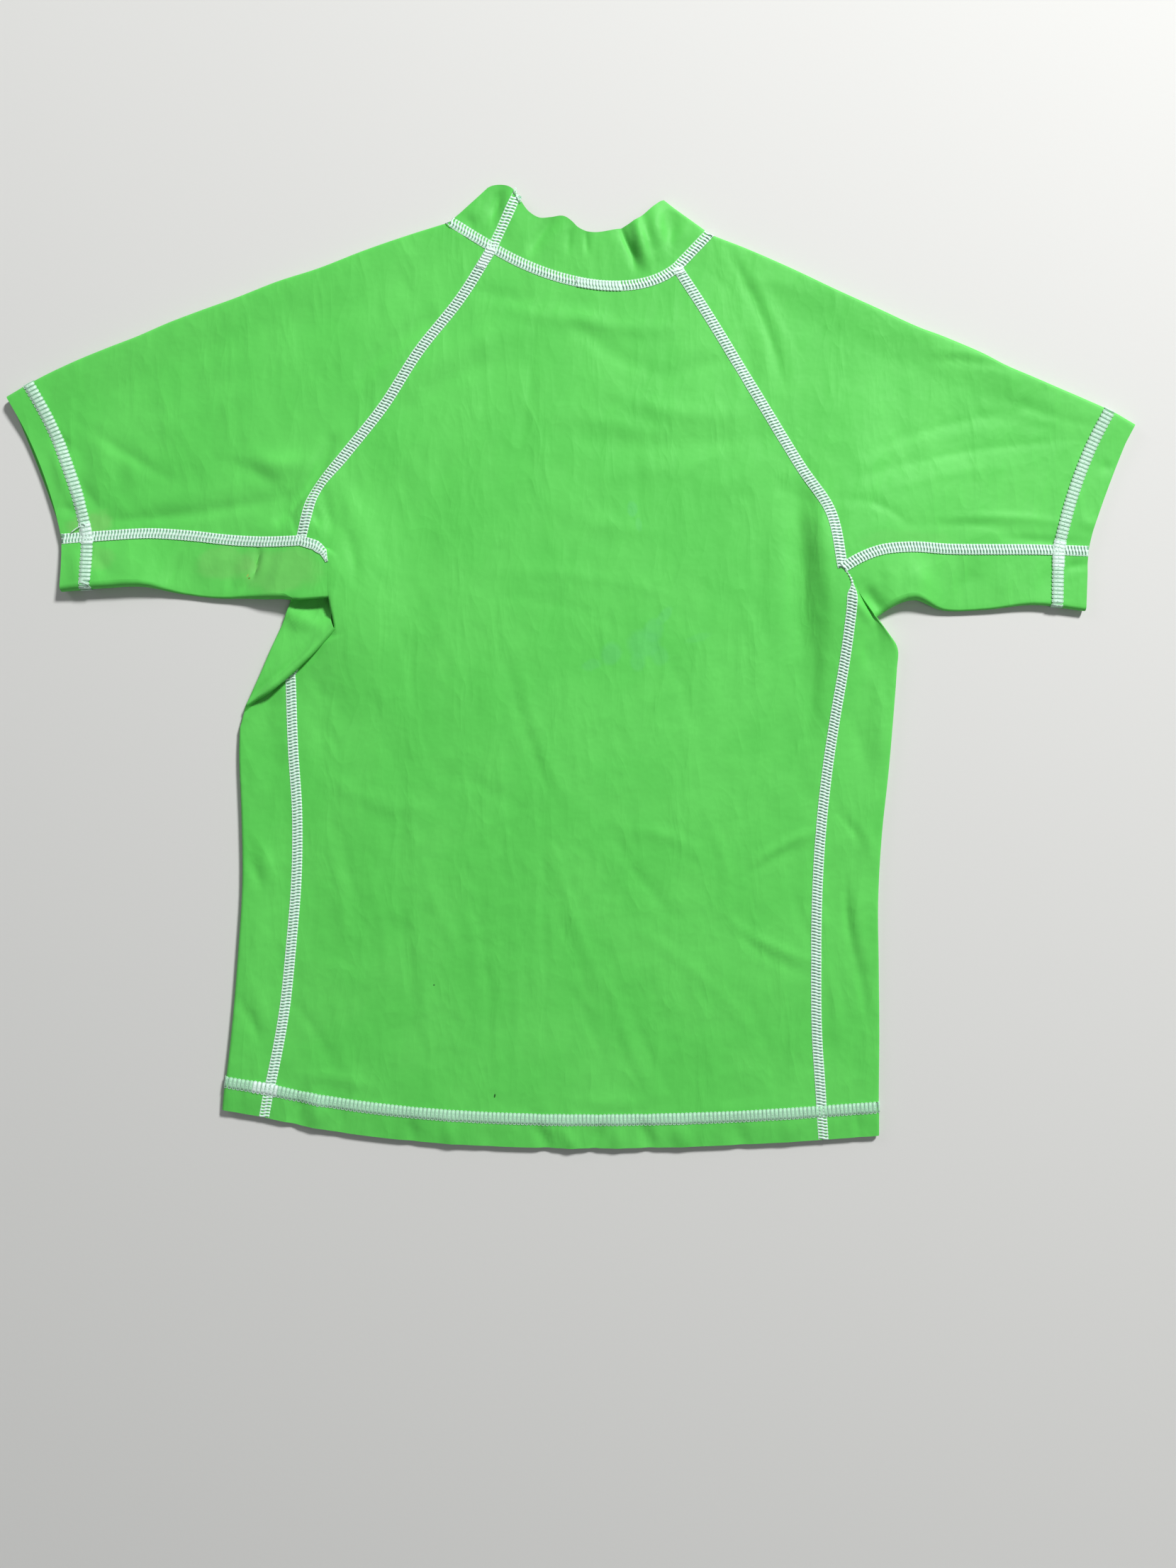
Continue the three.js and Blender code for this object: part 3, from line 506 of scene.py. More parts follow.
def wrapped(upper, under, shares, under_bow=0.0):
    """Sections that run over the upper layer, round a fold and back below, as a grid (n, m, 3).
    upper(t) gives the upper layer from the seam (t = 0) to the outline (t = 1). The fold is half a turn
    whose radius is half the height of the outline above the lower layer: at the angle a it lies
    radius * (1 - cos a) inside the outline, and (1 + sin a) / 2 of the way up."""
    zero = np.zeros((len(under), 1))
    seam, tip = upper(zero)[:, 0], upper(zero + 1)[:, 0]
    length = np.linalg.norm(tip[:, :2] - seam[:, :2], axis=1)[:, None]
    back = under - tip[:, :2]
    back_length = np.linalg.norm(back, axis=1)[:, None]
    radius = (tip[:, 2:] - LOWER_LAYER) / 2
    above, below = FOLD_ANGLES[FOLD_ANGLES >= 0], FOLD_ANGLES[FOLD_ANGLES < 0]
    inner = length - NEAR_FOLD[0]
    even = np.arange(shares) / shares
    places = [even * inner / length, 1 - NEAR_FOLD / length, 1 - radius * (1 - np.cos(above)) / length]
    top = upper(np.concatenate(places, axis=1))
    turn = (1 + np.sin(above)) / 2
    top[:, -len(above):, 2] = mix(LOWER_LAYER, top[:, -len(above):, 2], turn)
    turn = (1 + np.sin(below)) / 2
    flat = (np.arange(LOWER_SHARES) + 1) / LOWER_SHARES
    start = radius / back_length
    share = np.concatenate([radius * (1 - np.cos(below)) / back_length, mix(start, 1, flat)], axis=1)
    side = unit(np.stack([-back[:, 1], back[:, 0]], axis=-1))
    bow = np.asarray(under_bow)[..., None, None] * (4 * share * (1 - share))[..., None]
    bottom = np.empty(share.shape + (3,))
    bottom[..., :2] = tip[:, None, :2] + back[:, None] * share[..., None] + side[:, None] * bow
    bottom[..., 2] = LOWER_LAYER
    bottom[:, :len(below), 2] = mix(LOWER_LAYER, tip[:, 2:], turn)
    return np.concatenate([top, bottom], axis=1)


def plain_sections(rows, shares, seam_reach=SEAM_REACH):
    """Untucked sections, straight in plan but for their bow. The height is the rest height, plus the
    section's rise, plus the lifts of seam and fold, each faded over its reach. Where a section is taut
    it goes straight from one lift to the other instead."""
    seam, tip = plan(rows, "seam"), plan(rows, "fold")
    ahead = tip - seam
    length = np.linalg.norm(ahead, axis=1)[:, None]
    side = unit(np.stack([-ahead[:, 1], ahead[:, 0]], axis=-1))
    sideways = rows["bow"]
    taut = rows.get("taut", np.zeros(len(seam)))[:, None]
    seam_lift, fold_lift = rows["seamLift"][:, None], rows["foldLift"][:, None]
    largest = np.maximum(np.maximum(np.abs(seam_lift), np.abs(fold_lift)), 1e-6)

    def upper(t):
        bent = (side * sideways[:, None])[:, None] * (4 * t * (1 - t))[..., None]
        points = seam[:, None] + ahead[:, None] * t[..., None] + bent
        by_seam = seam_lift * fade(length * t, np.minimum(seam_reach, length))
        by_fold = fold_lift * fade(length * (1 - t), np.minimum(FOLD_REACH, length))
        shared = np.maximum(by_seam * by_fold, 0) / largest
        lift = mix(by_seam + by_fold - shared, mix(seam_lift, fold_lift, t), taut)
        height = REST_HEIGHT + rows["rise"][:, None] + lift
        return np.concatenate([points, height[..., None]], axis=-1)

    return wrapped(upper, plan(rows, "under"), shares, -0.35 * sideways)


def kept_up(height):
    """The larger of the height and the least one, smoothly: half their sum, plus half the root of the
    sum of the squares of their difference and of the blend."""
    return (height + LEAST_HEIGHT + np.sqrt((height - LEAST_HEIGHT) ** 2 + LEAST_BLEND**2)) / 2


def creased(grid, weights):
    """The grid with the creases added to its upper layer."""
    out = grid.copy()
    height = kept_up(grid[..., 2] + creases(grid[..., 0], grid[..., 1]))
    out[..., 2] = mix(grid[..., 2], height, weights)
    return out


def under_place(share):
    """Point of the left under seam beside the armpit, at a share of its stations."""
    stations = np.array(UNDER_STRETCH, float)
    place = np.asarray(share) * (len(stations) - 1)
    at = np.arange(len(stations))
    return np.stack([np.interp(place, at, stations[:, i]) for i in (0, 1)], axis=-1)


def tuck_sections(index, before, after):
    """Sections of one tuck. Each fold is half a turn between two levels, bulging across the fold line;
    towards the tip the turns open out along the outline into a plain slope."""
    tuck = {name: values[index] for name, values in TUCKS.items()}
    tip = np.array([tuck["tipX"], tuck["tipY"]])
    inner = np.array([tuck["innerX"], tuck["innerY"]])
    outer = np.array([tuck["outerX"], tuck["outerY"]])
    ahead = unit(outer - tip)
    outwards = np.array([ahead[1], -ahead[0]])
    count = len(TUCK_ANGLES)
    ends = np.repeat([inner, outer], count, axis=0)
    low = np.repeat([tuck["below"], tuck["between"]], count)
    high = np.repeat([tuck["between"], tuck["above"]], count)
    way = np.repeat([-1.0, 1.0], count)
    angle = np.tile(TUCK_ANGLES, 2)
    share = np.linspace(0, 1, 2 * count)
    radius = (high - low) / 2
    bulge = (way * radius * np.sin(angle))[:, None] * outwards
    level = (low + high) / 2 - radius * np.cos(angle)
    climb = mix(tuck["tipLow"], tuck["tipHigh"], share)
    side = 2 * share - 1
    towards = np.where(side[:, None] < 0, unit(before - tip), unit(after - tip))
    slide = towards * (np.abs(side) * tuck["spread"])[:, None]

    def upper(t):
        opened = smoothstep(t, 0.7, 1.0)[..., None]
        points = ends[:, None] + (tip - ends)[:, None] * t[..., None]
        points = points + outwards * (tuck["bow"] * 4 * t * (1 - t))[..., None]
        points = points + bulge[:, None] * (1 - opened) + slide[:, None] * opened
        height = mix(level[:, None], climb[:, None], opened[..., 0])
        return np.concatenate([points, height[..., None]], axis=-1)

    return wrapped(upper, under_place(mix(tuck["underFrom"], tuck["underTo"], share)), SIDE_SHARES)


def flap_sections():
    """The flap's sections, each a straight slope from its seam end to its fold."""
    seam, fold = plan(FLAP, "seam"), plan(FLAP, "fold")

    def upper(t):
        points = seam[:, None] + (fold - seam)[:, None] * t[..., None]
        height = mix(FLAP["seamHeight"][:, None], FLAP["foldHeight"][:, None], t)
        return np.concatenate([points, height[..., None]], axis=-1)

    return wrapped(upper, under_place(FLAP["under"]), SIDE_SHARES)


def ruled(sections, steps):
    """Sections with sub-rows on the straight lines between them; the last section is left out."""
    piece = np.repeat(np.arange(len(sections) - 1), steps)
    t = np.concatenate([np.arange(n) / n for n in steps])[:, None, None]
    return mix(sections[piece], sections[piece + 1], t)


def coons(left, right, hem, neck, columns):
    """Plan of a panel as a Coons patch: the side edges blended across, plus the hem and neck edges
    blended up, less the same blend of the four corners. Shares of each row are in columns."""
    v = np.linspace(0, 1, len(left))[:, None, None]
    u = columns[..., None]
    across = mix(left[:, None], right[:, None], u)
    upwards = mix(cubic(hem, columns), cubic(neck, columns), v)
    low = mix(cubic(hem, 0.0), cubic(hem, 1.0), u)
    high = mix(cubic(neck, 0.0), cubic(neck, 1.0), u)
    return across + upwards - mix(low, high, v)


def panel_columns(width, middle):
    """Shares across each row: the edge columns at their distances and even ones between them."""
    near = EDGE_COLUMNS / width[:, None]
    t = np.arange(1, middle) / middle
    even = mix(near[:, -1:], 1 - near[:, -1:], t)
    return np.concatenate([near, even, 1 - near[:, ::-1]], axis=1)


# Swells of the back panel beside the armpits. The left one is a hill: its middle, its height and how
# far it reaches left, right, down and up. The right one is a step that rises towards the seam: its
# height and the middle of its slope along Y, and how far the slope reaches to either side of that.
HILL_PLACE = (-158.0, 45.0)
HILL_HEIGHT = 7.4
HILL_REACH = (30.0, 58.0, 85.0, 80.0)
STEP = table(
    "y height middle",
    [
        [-95, 0.0, 168], [-50, 0.8, 168], [-20, 2.2, 168], [0, 3.0, 168], [20, 4.2, 168],
        [40, 6.2, 167.5], [60, 7.5, 166], [80, 7.6, 163.5], [98, 7.0, 161.5], [110, 5.4, 160.5],
        [124, 2.6, 160], [144, 0.4, 160], [160, 0.0, 160],
    ],
)
STEP_SIDES = (11.0, 9.0)


def swells(x, y):
    """Height of both swells at plan points."""
    left, right, down, up = HILL_REACH
    x_reach = np.where(x < HILL_PLACE[0], left, right)
    y_reach = np.where(y < HILL_PLACE[1], down, up)
    hill = HILL_HEIGHT * fade(x - HILL_PLACE[0], x_reach) * fade(y - HILL_PLACE[1], y_reach)
    step = smooth_line(STEP["y"], np.stack([STEP["height"], STEP["middle"]], axis=-1), y)
    middle = step[..., 1]
    return hill + step[..., 0] * smoothstep(x, middle - STEP_SIDES[0], middle + STEP_SIDES[1])


def back_panel(left, right):
    """Upper layer between the seams. Its height is the rest height, the rise blended across, the swells
    and the creases, less the drop of its curled edge: a quarter circle. What the seams' lifts differ
    from the swells is added at the edges and faded inwards."""
    start, end = plan(left, "seam"), plan(right, "seam")
    width = np.linalg.norm(end - start, axis=1)
    columns = panel_columns(width, int(width.max() / PANEL_PITCH))
    place = coons(start, end, BACK_HEM, BACK_NECK, columns)
    from_left, from_right = columns * width[:, None], (1 - columns) * width[:, None]
    lift = swells(place[..., 0], place[..., 1])
    left_swell, right_swell = lift[:, :1].copy(), lift[:, -1:].copy()
    for rows, away, edge in ((left, from_left, left_swell), (right, from_right, right_swell)):
        reach = mix(SEAM_REACH, SWELL_REACH, smoothstep(edge, 0.0, 3.0))
        lift += (rows["seamLift"][:, None] - edge) * fade(away, reach)
    rise = mix(left["rise"][:, None], right["rise"][:, None], columns)
    inwards = 1 - np.minimum(from_left / CURL_RADIUS, 1)
    curl = CURL_RADIUS * (1 - np.sqrt(1 - inwards**2)) * left["curl"][:, None]
    height = kept_up(REST_HEIGHT + rise + lift + creases(place[..., 0], place[..., 1])) - curl
    return np.concatenate([place, height[..., None]], axis=-1)


def front_panel(left, right):
    """Lower layer between the seams, flat on the surface."""
    start, end = plan(left, "under"), plan(right, "under")
    width = np.linalg.norm(end - start, axis=1)
    columns = panel_columns(width, int(width.max() / PANEL_PITCH / FRONT_THINNING))
    place = coons(start, end, FRONT_HEM, FRONT_NECK, columns)
    return np.concatenate([place, np.full(place.shape[:2] + (1,), LOWER_LAYER)], axis=-1)


def collar_grid(back, right, front, left):
    """The collar as a ring. Its lower edge follows the neck edges: left sleeve, back and right sleeve
    above, and right sleeve, front and left sleeve below. Its top follows the top edge above and a cubic
    curve below. The ring starts and ends at the join over the left raglan seam."""
    tip = SLEEVE_SHARES + len(NEAR_FOLD) + len(FOLD_ANGLES) // 2
    upper = np.concatenate([left[:tip + 1][::-1], back[1:-1], right[:tip + 1]])
    lower = np.concatenate([right[tip:], front[::-1][1:-1], left[tip:][::-1]])
    at = run_length(upper[:, :2])
    at = at / at[-1]
    top = smooth_line(COLLAR_TOP["station"], plan(COLLAR_TOP, ""), at)
    rise = COLLAR_RISE * np.sin(math.pi * at) ** 0.5
    high = np.column_stack([top, upper[:, 2] + rise])
    at = run_length(lower[:, :2])
    share = at / at[-1]
    front_top = cubic(COLLAR_FRONT, 1 - smoothstep(share, 0.12, 0.88))  # level beside the folds
    by_fold = (np.abs(share - 0.5) * 2) ** 3
    fold = np.where((share < 0.5)[:, None], top[-1], top[0])
    below = np.column_stack([mix(front_top, fold, by_fold[:, None]), lower[:, 2]])
    low = np.concatenate([upper[tip:], lower[1:], upper[1:tip + 1]])
    high = np.concatenate([high[tip:], below[1:], high[1:tip + 1]])
    share = COLLAR_STEPS[:, None, None]
    grid = mix(low, high, share)
    weight = smoothstep(grid[..., 2], LOWER_LAYER + 0.4, REST_HEIGHT + 0.2)
    beyond = creases(grid[..., 0], grid[..., 1]) - creases(low[:, 0], low[:, 1])
    grown = beyond * smoothstep(share[..., 0], 0.0, 0.35)
    height = kept_up(grid[..., 2] + grown - COLLAR_SPARE) + COLLAR_SPARE
    grid[..., 2] = mix(grid[..., 2], height, weight)
    return grid


def smooth_line(at, points, wanted, steps=24):
    """Points of a smooth line through the given ones, at wanted stations: cubic Hermite pieces, each
    drawn in straight steps."""
    fine = np.stack([carried(at, points[:, i], [steps] * (len(at) - 1), ()) for i in (0, 1)], axis=-1)
    stations = np.interp(np.arange(len(fine)) / steps, np.arange(len(at)), at)
    return np.stack([np.interp(wanted, stations, fine[:, i]) for i in (0, 1)], axis=-1)


@functools.lru_cache(maxsize=None)
def garment():
    """Middle surfaces of every cloth piece as grids (rows, columns, 3), in millimetres."""
    section = {side: table(SECTION_COLUMNS, rows) for side, rows in RAGLAN.items()}
    underarm = {side: table(UNDERARM_COLUMNS, rows) for side, rows in UNDERARM.items()}
    sides = {side: table(SECTION_COLUMNS, rows) for side, rows in SIDE.items()}
    corner = len(RAGLAN["left"]) - 1
    rows, grids = {}, {}
    for side in ("left", "right"):
        steps = RAGLAN_STEPS + UNDERARM_STEPS[side]
        rows[side] = refined(joined(section[side], underarm[side]), steps, [corner])
        grids["sleeve_" + side] = creased(
            plain_sections(rows[side], SLEEVE_SHARES, SLEEVE_REACH[side]), column_weights(SLEEVE_SHARES)
        )
    raglan = {side: turned(part_of(rows[side], 0, sum(RAGLAN_STEPS) + 1)) for side in rows}

    right = dict(sides["right"], taut=np.zeros(len(SIDE["right"])))
    armpit = dict(part_of(section["right"], -1, None), taut=np.ones(1))
    armpit["foldX"], armpit["foldY"], armpit["foldLift"] = (np.array([v]) for v in RIGHT_ARMPIT)
    lower = lowered(underarm["right"])
    steps = SIDE_STEPS + RIGHT_ARMPIT_STEPS + UNDERARM_STEPS["right"]
    everywhere = PLAN_COLUMNS + ("foldX", "foldY")
    right_rows = refined(joined(right, armpit, lower), steps, [len(SIDE["right"])], everywhere)
    grids["side_panel_right"] = creased(
        plain_sections(right_rows, SIDE_SHARES), column_weights(SIDE_SHARES)
    )

    crease = table(CREASE_COLUMNS, LEFT_CREASE)
    left_low = uncurled(refined(sides["left"], SIDE_STEPS))
    raglan_left = uncurled(raglan["left"])
    start, top = part_of(left_low, -1, None), part_of(raglan_left, 0, 1)
    turns = range(1, len(LEFT_CREASE) + 1)
    crease_rows = refined(joined(start, crease, top), LEFT_CREASE_STEPS, turns, CREASE_COLUMNS.split())
    grids["side_panel_left"], left_top = left_side_panel(left_low, crease, section, underarm)

    left_edge = joined(part_of(left_low, 0, -1), part_of(crease_rows, 0, -1), raglan_left)
    below = sum(SIDE_STEPS) + sum(RIGHT_ARMPIT_STEPS)
    right_edge = joined(part_of(right_rows, 0, below), raglan["right"])
    grids["back_panel"] = back_panel(left_edge, right_edge)
    last = len(left_edge["seamX"]) - 1
    thin = np.unique(np.append(np.arange(0, last + 1, FRONT_THINNING), last))
    grids["front_panel"] = front_panel(
        {name: values[thin] for name, values in left_edge.items()},
        {name: values[thin] for name, values in right_edge.items()},
    )
    grids["collar"] = collar_grid(
        grids["back_panel"][-1],
        grids["sleeve_right"][0],
        grids["front_panel"][-1],
        grids["sleeve_left"][0],
    )
    grids["left_strip_start"] = left_top
    return grids


def uncurled(rows):
    """Rows with the curl of an ordinary seam, which is none."""
    return dict(rows, curl=np.zeros_like(rows["seamX"]))


def lowered(rows):
    """Underarm rows as the side panel reads them: taut, and its fold is the lower edge."""
    out = dict(rows)
    out["foldX"], out["foldY"] = rows["lowerX"], rows["lowerY"]
    out["foldLift"], out["bow"] = rows["lowerLift"], rows["lowerBow"]
    out["taut"] = np.ones_like(out["bow"])
    return {name: out[name] for name in SECTION_COLUMNS.split() + ["taut"]}


def left_side_panel(low_rows, crease, raglan, underarm):
    """The left side panel from the hem through its two tucks to the cuff, and the index of the row at
    which the strip under the arm begins."""
    fold_at = np.array([row[:2] for row in LEFT_ARMPIT])
    lifts = np.array([row[2] for row in LEFT_ARMPIT])
    last_crease = part_of(crease, -3, None)
    armpit = part_of(raglan["left"], -1, None)
    unders = under_place(np.linspace(0.88, 1.0, len(fold_at)))
    beside = {
        "seamX": np.append(last_crease["seamX"], armpit["seamX"]),
        "seamY": np.append(last_crease["seamY"], armpit["seamY"]),
        "foldX": fold_at[:, 0],
        "foldY": fold_at[:, 1],
        "underX": unders[:, 0],
        "underY": unders[:, 1],
        "rise": np.zeros_like(lifts),
        "seamLift": np.append(last_crease["seamLift"], armpit["seamLift"]),
        "foldLift": lifts,
        "bow": np.zeros_like(lifts),
        "taut": np.ones_like(lifts),
    }
    strip_rows = refined(
        joined(beside, lowered(underarm["left"])),
        LEFT_CREASE_STEPS[-3:] + UNDERARM_STEPS["left"],
        [1, 2, 3],
        PLAN_COLUMNS + ("seamLift", "rise"),
    )
    weights = column_weights(SIDE_SHARES)
    low = creased(plain_sections(low_rows, SIDE_SHARES), weights)
    strip = creased(plain_sections(strip_rows, SIDE_SHARES), weights)
    outline = [plan(low_rows, "fold")[-1], plan(FLAP, "fold")[0], plan(FLAP, "fold")[-1], fold_at[0]]
    first = tuck_sections(0, outline[0], outline[1])
    second = tuck_sections(1, outline[2], outline[3])
    keys = np.concatenate([low[-1:], first, flap_sections(), second, strip[:1]])
    turn = [1] * (len(TUCK_ANGLES) - 1)
    to_flap = [TO_TUCK] + turn + [TUCK_STEPS[0]] + turn + [TO_FLAP]
    steps = to_flap + FLAP_STEPS + [FROM_FLAP] + turn + [TUCK_STEPS[1]] + turn + [TO_STRIP]
    between = ruled(keys, steps)
    start = sum(to_flap) - TO_FLAP - len(turn) // 2
    flap = slice(start, sum(to_flap) + sum(FLAP_STEPS) + FROM_FLAP)
    between[flap] = creased(between[flap], weights)
    between[-steps[-1]:, 0, 0] += SEAM_LAP
    grid = np.concatenate([low[:-1], between, strip])
    return grid, len(grid) - len(strip)


# ---------------------------------------------------------------- meshes
def grid_normals(grid):
    """Unit normals of a grid, from the differences along both of its ways."""
    return unit(np.cross(np.gradient(grid, axis=0), np.gradient(grid, axis=1)))


def grid_quads(index):
    """Quads of a grid of vertex numbers."""
    a, b = index[:-1, :-1], index[:-1, 1:]
    c, d = index[1:, 1:], index[1:, :-1]
    return np.stack([a, b, c, d], axis=-1).reshape(-1, 4)


def cloth_wall(grid, thickness):
    """Closed wall: two skins half the thickness either side of the grid, joined by rims that stand out
    by a quarter of the thickness along the middle."""
    half = grid_normals(grid) * (np.asarray(thickness) / 2)[..., None]
    outer = np.arange(grid.shape[0] * grid.shape[1]).reshape(grid.shape[:2])
    inner = outer + outer.size
    rim = np.concatenate([outer[0, :], outer[1:, -1], outer[-1, -2::-1], outer[-2:0:-1, 0]])
    flat = grid.reshape(-1, 3)
    ahead = unit(flat[np.roll(rim, -1)] - flat[np.roll(rim, 1)])
    normal = unit(half.reshape(-1, 3)[rim])
    out = np.cross(ahead, normal) * np.ravel(np.broadcast_to(thickness, grid.shape[:2]))[rim, None] / 4
    skins = [(grid + half).reshape(-1, 3), (grid - half).reshape(-1, 3)]
    vertices = np.concatenate(skins + [flat[rim] + out])
    middle = 2 * outer.size + np.arange(len(rim))
    after, next_middle = np.roll(rim, -1), np.roll(middle, -1)
    upper_rim = np.stack([after, rim, middle, next_middle], axis=-1)
    lower_rim = np.stack([next_middle, middle, rim + outer.size, after + outer.size], axis=-1)
    faces = [np.concatenate([grid_quads(outer), grid_quads(inner)[:, ::-1], upper_rim, lower_rim])]
    return vertices, facing_out(vertices, faces)


def facing_out(vertices, faces):
    """The faces, all turned round if together they enclose a negative volume."""
    volume = 0.0
    for polygons in faces:
        first = vertices[polygons[:, 0]]
        for k in range(1, polygons.shape[1] - 1):
            cross = np.cross(vertices[polygons[:, k]], vertices[polygons[:, k + 1]])
            volume += float((first * cross).sum())
    return faces if volume >= 0 else [polygons[:, ::-1] for polygons in faces]


def swept(rings, closed=False):
    """Skin over strips of rings (strips, rings, points, 3). Quads join each ring to the next, and a
    polygon closes each end of a strip that isn't closed on itself."""
    count, steps, points = rings.shape[:3]
    index = np.arange(count * steps * points).reshape(count, steps, points)
    ahead = np.roll(index, -1, axis=1) if closed else index[:, 1:]
    here = index if closed else index[:, :-1]
    quads = np.stack([here, np.roll(here, -1, axis=2), np.roll(ahead, -1, axis=2), ahead], axis=-1)
    faces = [quads.reshape(-1, 4)]
    if not closed:
        faces.append(np.concatenate([index[:, 0, ::-1], index[:, -1, :]]))
    vertices = rings.reshape(-1, 3)
    return vertices, facing_out(vertices, faces)


def merged(parts):
    """Parts (vertices, faces, tone) as one set of vertices, their faces and a tone for each vertex."""
    vertices, faces, tones, offset = [], [], [], 0
    for points, polygons, tone in parts:
        vertices.append(points)
        faces.extend(p + offset for p in polygons)
        tones.append(np.broadcast_to(tone, len(points)))
        offset += len(points)
    return np.concatenate(vertices), faces, np.concatenate(tones)


def make_object(name, vertices, faces, material, slot=None, tone=None, uv=None, crisp=None):
    """A mesh object at the origin from points in millimetres and arrays of polygons."""
    mesh = bpy.data.meshes.new(name)
    corners = np.concatenate([polygons.ravel() for polygons in faces])
    sizes = np.concatenate([np.full(len(p), p.shape[1]) for p in faces])
    mesh.vertices.add(len(vertices))
    mesh.vertices.foreach_set("co", (vertices * MM).astype(np.float32).ravel())
    mesh.loops.add(len(corners))
    mesh.loops.foreach_set("vertex_index", corners.astype(np.int32))
    mesh.polygons.add(len(sizes))
    mesh.polygons.foreach_set("loop_start", (np.cumsum(sizes) - sizes).astype(np.int32))
    mesh.polygons.foreach_set("use_smooth", np.ones(len(sizes), bool))
    mesh.update(calc_edges=True)
    if tone is not None:
        attribute = mesh.attributes.new("tone", "FLOAT", "POINT")
        attribute.data.foreach_set("value", tone.astype(np.float32))
    if uv is not None:
        layer = mesh.uv_layers.new(name="cloth")
        layer.data.foreach_set("uv", uv[corners].astype(np.float32).ravel())
    if crisp is not None:
        mesh.set_sharp_from_angle(angle=math.radians(crisp))
    if mesh.validate():
        raise RuntimeError(f"{name}: the mesh had faulty faces")
    mesh.materials.append(material)
    piece = bpy.data.objects.new(name, mesh)
    bpy.context.scene.collection.objects.link(piece)
    if slot is not None:
        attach(piece, BODY)
    return piece


HEM_STEP = 3.0
RIM_ANGLE = 50  # edges sharper than this many degrees, at the rims, are drawn crisp


def cloth_piece(name, thickness):
    """One cloth piece: its wall and its UV map in metres walked across and along it."""
    grid = garment()[name]
    vertices, faces = cloth_wall(grid, thickness)
    steps = np.linalg.norm(np.diff(grid, axis=1), axis=2)
    across = np.cumsum(np.concatenate([np.zeros((len(grid), 1)), steps], axis=1), axis=1)
    along = run_length(grid[:, grid.shape[1] // 3])[:, None]
    flat = np.stack([across, np.broadcast_to(along, grid.shape[:2])], axis=-1)
    uv = np.tile(flat.reshape(-1, 2) * MM, (2, 1))
    rim = len(vertices) - len(uv)
    uv = np.concatenate([uv, np.zeros((rim, 2))])
    piece = make_object(name + "_cloth", vertices, faces, jersey(), CLOTH_SLOT, uv=uv, crisp=RIM_ANGLE)
    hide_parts(name)
    return piece


def wall_thickness(grid, wall, doubled, depth, row):
    """Thickness at each grid point: the wall, and the doubled hem within its depth of the hem's row, with
    a smooth step half as wide as HEM_STEP to either side."""
    ordered = grid if row == 0 else grid[::-1]
    walked = np.cumsum(np.linalg.norm(np.diff(ordered, axis=0), axis=2), axis=0)
    distance = np.concatenate([np.zeros((1, grid.shape[1])), walked])
    if row != 0:
        distance = distance[::-1]
    return wall + doubled * (1 - smoothstep(distance, depth - HEM_STEP / 2, depth + HEM_STEP / 2))


# ---------------------------------------------------------------- seams as tracks
def make_track(line, left, right, outward, closed=False):
    """A seam to sew along: its line, the unit directions over the cloth to either side of it, and the
    normal, which is the cross product of its direction and the way across. outward is roughly the
    normal at its start."""
    if closed:
        line, left, right = (np.concatenate([a, a[:1]]) for a in (line, left, right))
    s = run_length(line)
    keep = np.append(True, np.diff(s) > 1e-6)
    line, left, right, s = line[keep], left[keep], right[keep], s[keep]
    ahead = unit(np.gradient(line, s, axis=0))
    sides = (left - line, right - line)
    to_left, to_right = (unit(v - (v * ahead).sum(axis=1, keepdims=True) * ahead) for v in sides)
    normal = unit(np.cross(ahead, to_right - to_left))
    if normal[0] @ np.array(outward, float) < 0:
        normal = -normal
    return {"s": s, "line": line, "left": to_left, "right": to_right, "normal": normal, "closed": closed}


def sampled(track, name, s):
    """One of the track's vectors at distances along it."""
    flat = np.ravel(s)
    if track["closed"]:
        flat = np.mod(flat, track["s"][-1])
    columns = [np.interp(flat, track["s"], track[name][:, i]) for i in range(3)]
    return np.stack(columns, axis=-1).reshape(np.shape(s) + (3,))


def pressed(normal):
    """Share of its height that is left to a thread: half where the seam faces down, under the cloth."""
    return 1 - 0.5 * smoothstep(-normal[..., 2], 0.0, 0.6)


def on_track(track, s, across, up, base):
    """Points at distances along and across the track (left is negative). They lie the base off the middle
    of the cloth, plus the height above that, which is less where the seam is pressed."""
    side = np.where((across < 0)[..., None], sampled(track, "left", s), sampled(track, "right", s))
    normal = sampled(track, "normal", s)
    place = sampled(track, "line", s) + side * np.abs(across)[..., None]
    return place + normal * (base + np.asarray(up) * pressed(normal))[..., None]


def threads(track, s, across, up, wide, high, sides, base, closed=False):
    """Threads through the given places (strips, points): an oval ring of the stated half width and half
    height round each point, square to the thread."""
    centre = on_track(track, s, across, up, base)
    if closed:
        ahead = unit(np.roll(centre, -1, axis=1) - np.roll(centre, 1, axis=1))
    else:
        ahead = unit(np.gradient(centre, axis=1))
    normal = sampled(track, "normal", s)
    beside = unit(np.cross(ahead, normal))
    above = unit(np.cross(beside, ahead))
    turn = np.linspace(0, 2 * math.pi, sides, endpoint=False)[:, None]
    flat = np.broadcast_to(wide, s.shape)[..., None, None]
    tall = (np.broadcast_to(high, s.shape) * pressed(normal))[..., None, None]
    ring = beside[:, :, None] * np.cos(turn) * flat + above[:, :, None] * np.sin(turn) * tall
    return swept(centre[:, :, None] + ring, closed)


# Tones of thread: bare and doubled, laid on the cloth, sheer so that the cloth shows through, and the
# crossed threads and cloth down in a seam or between rungs, darkened as painted shade.
WHITE, LAID, SHEER, DEEP_SHADED = 0.0, 0.35, 0.7, 1.0

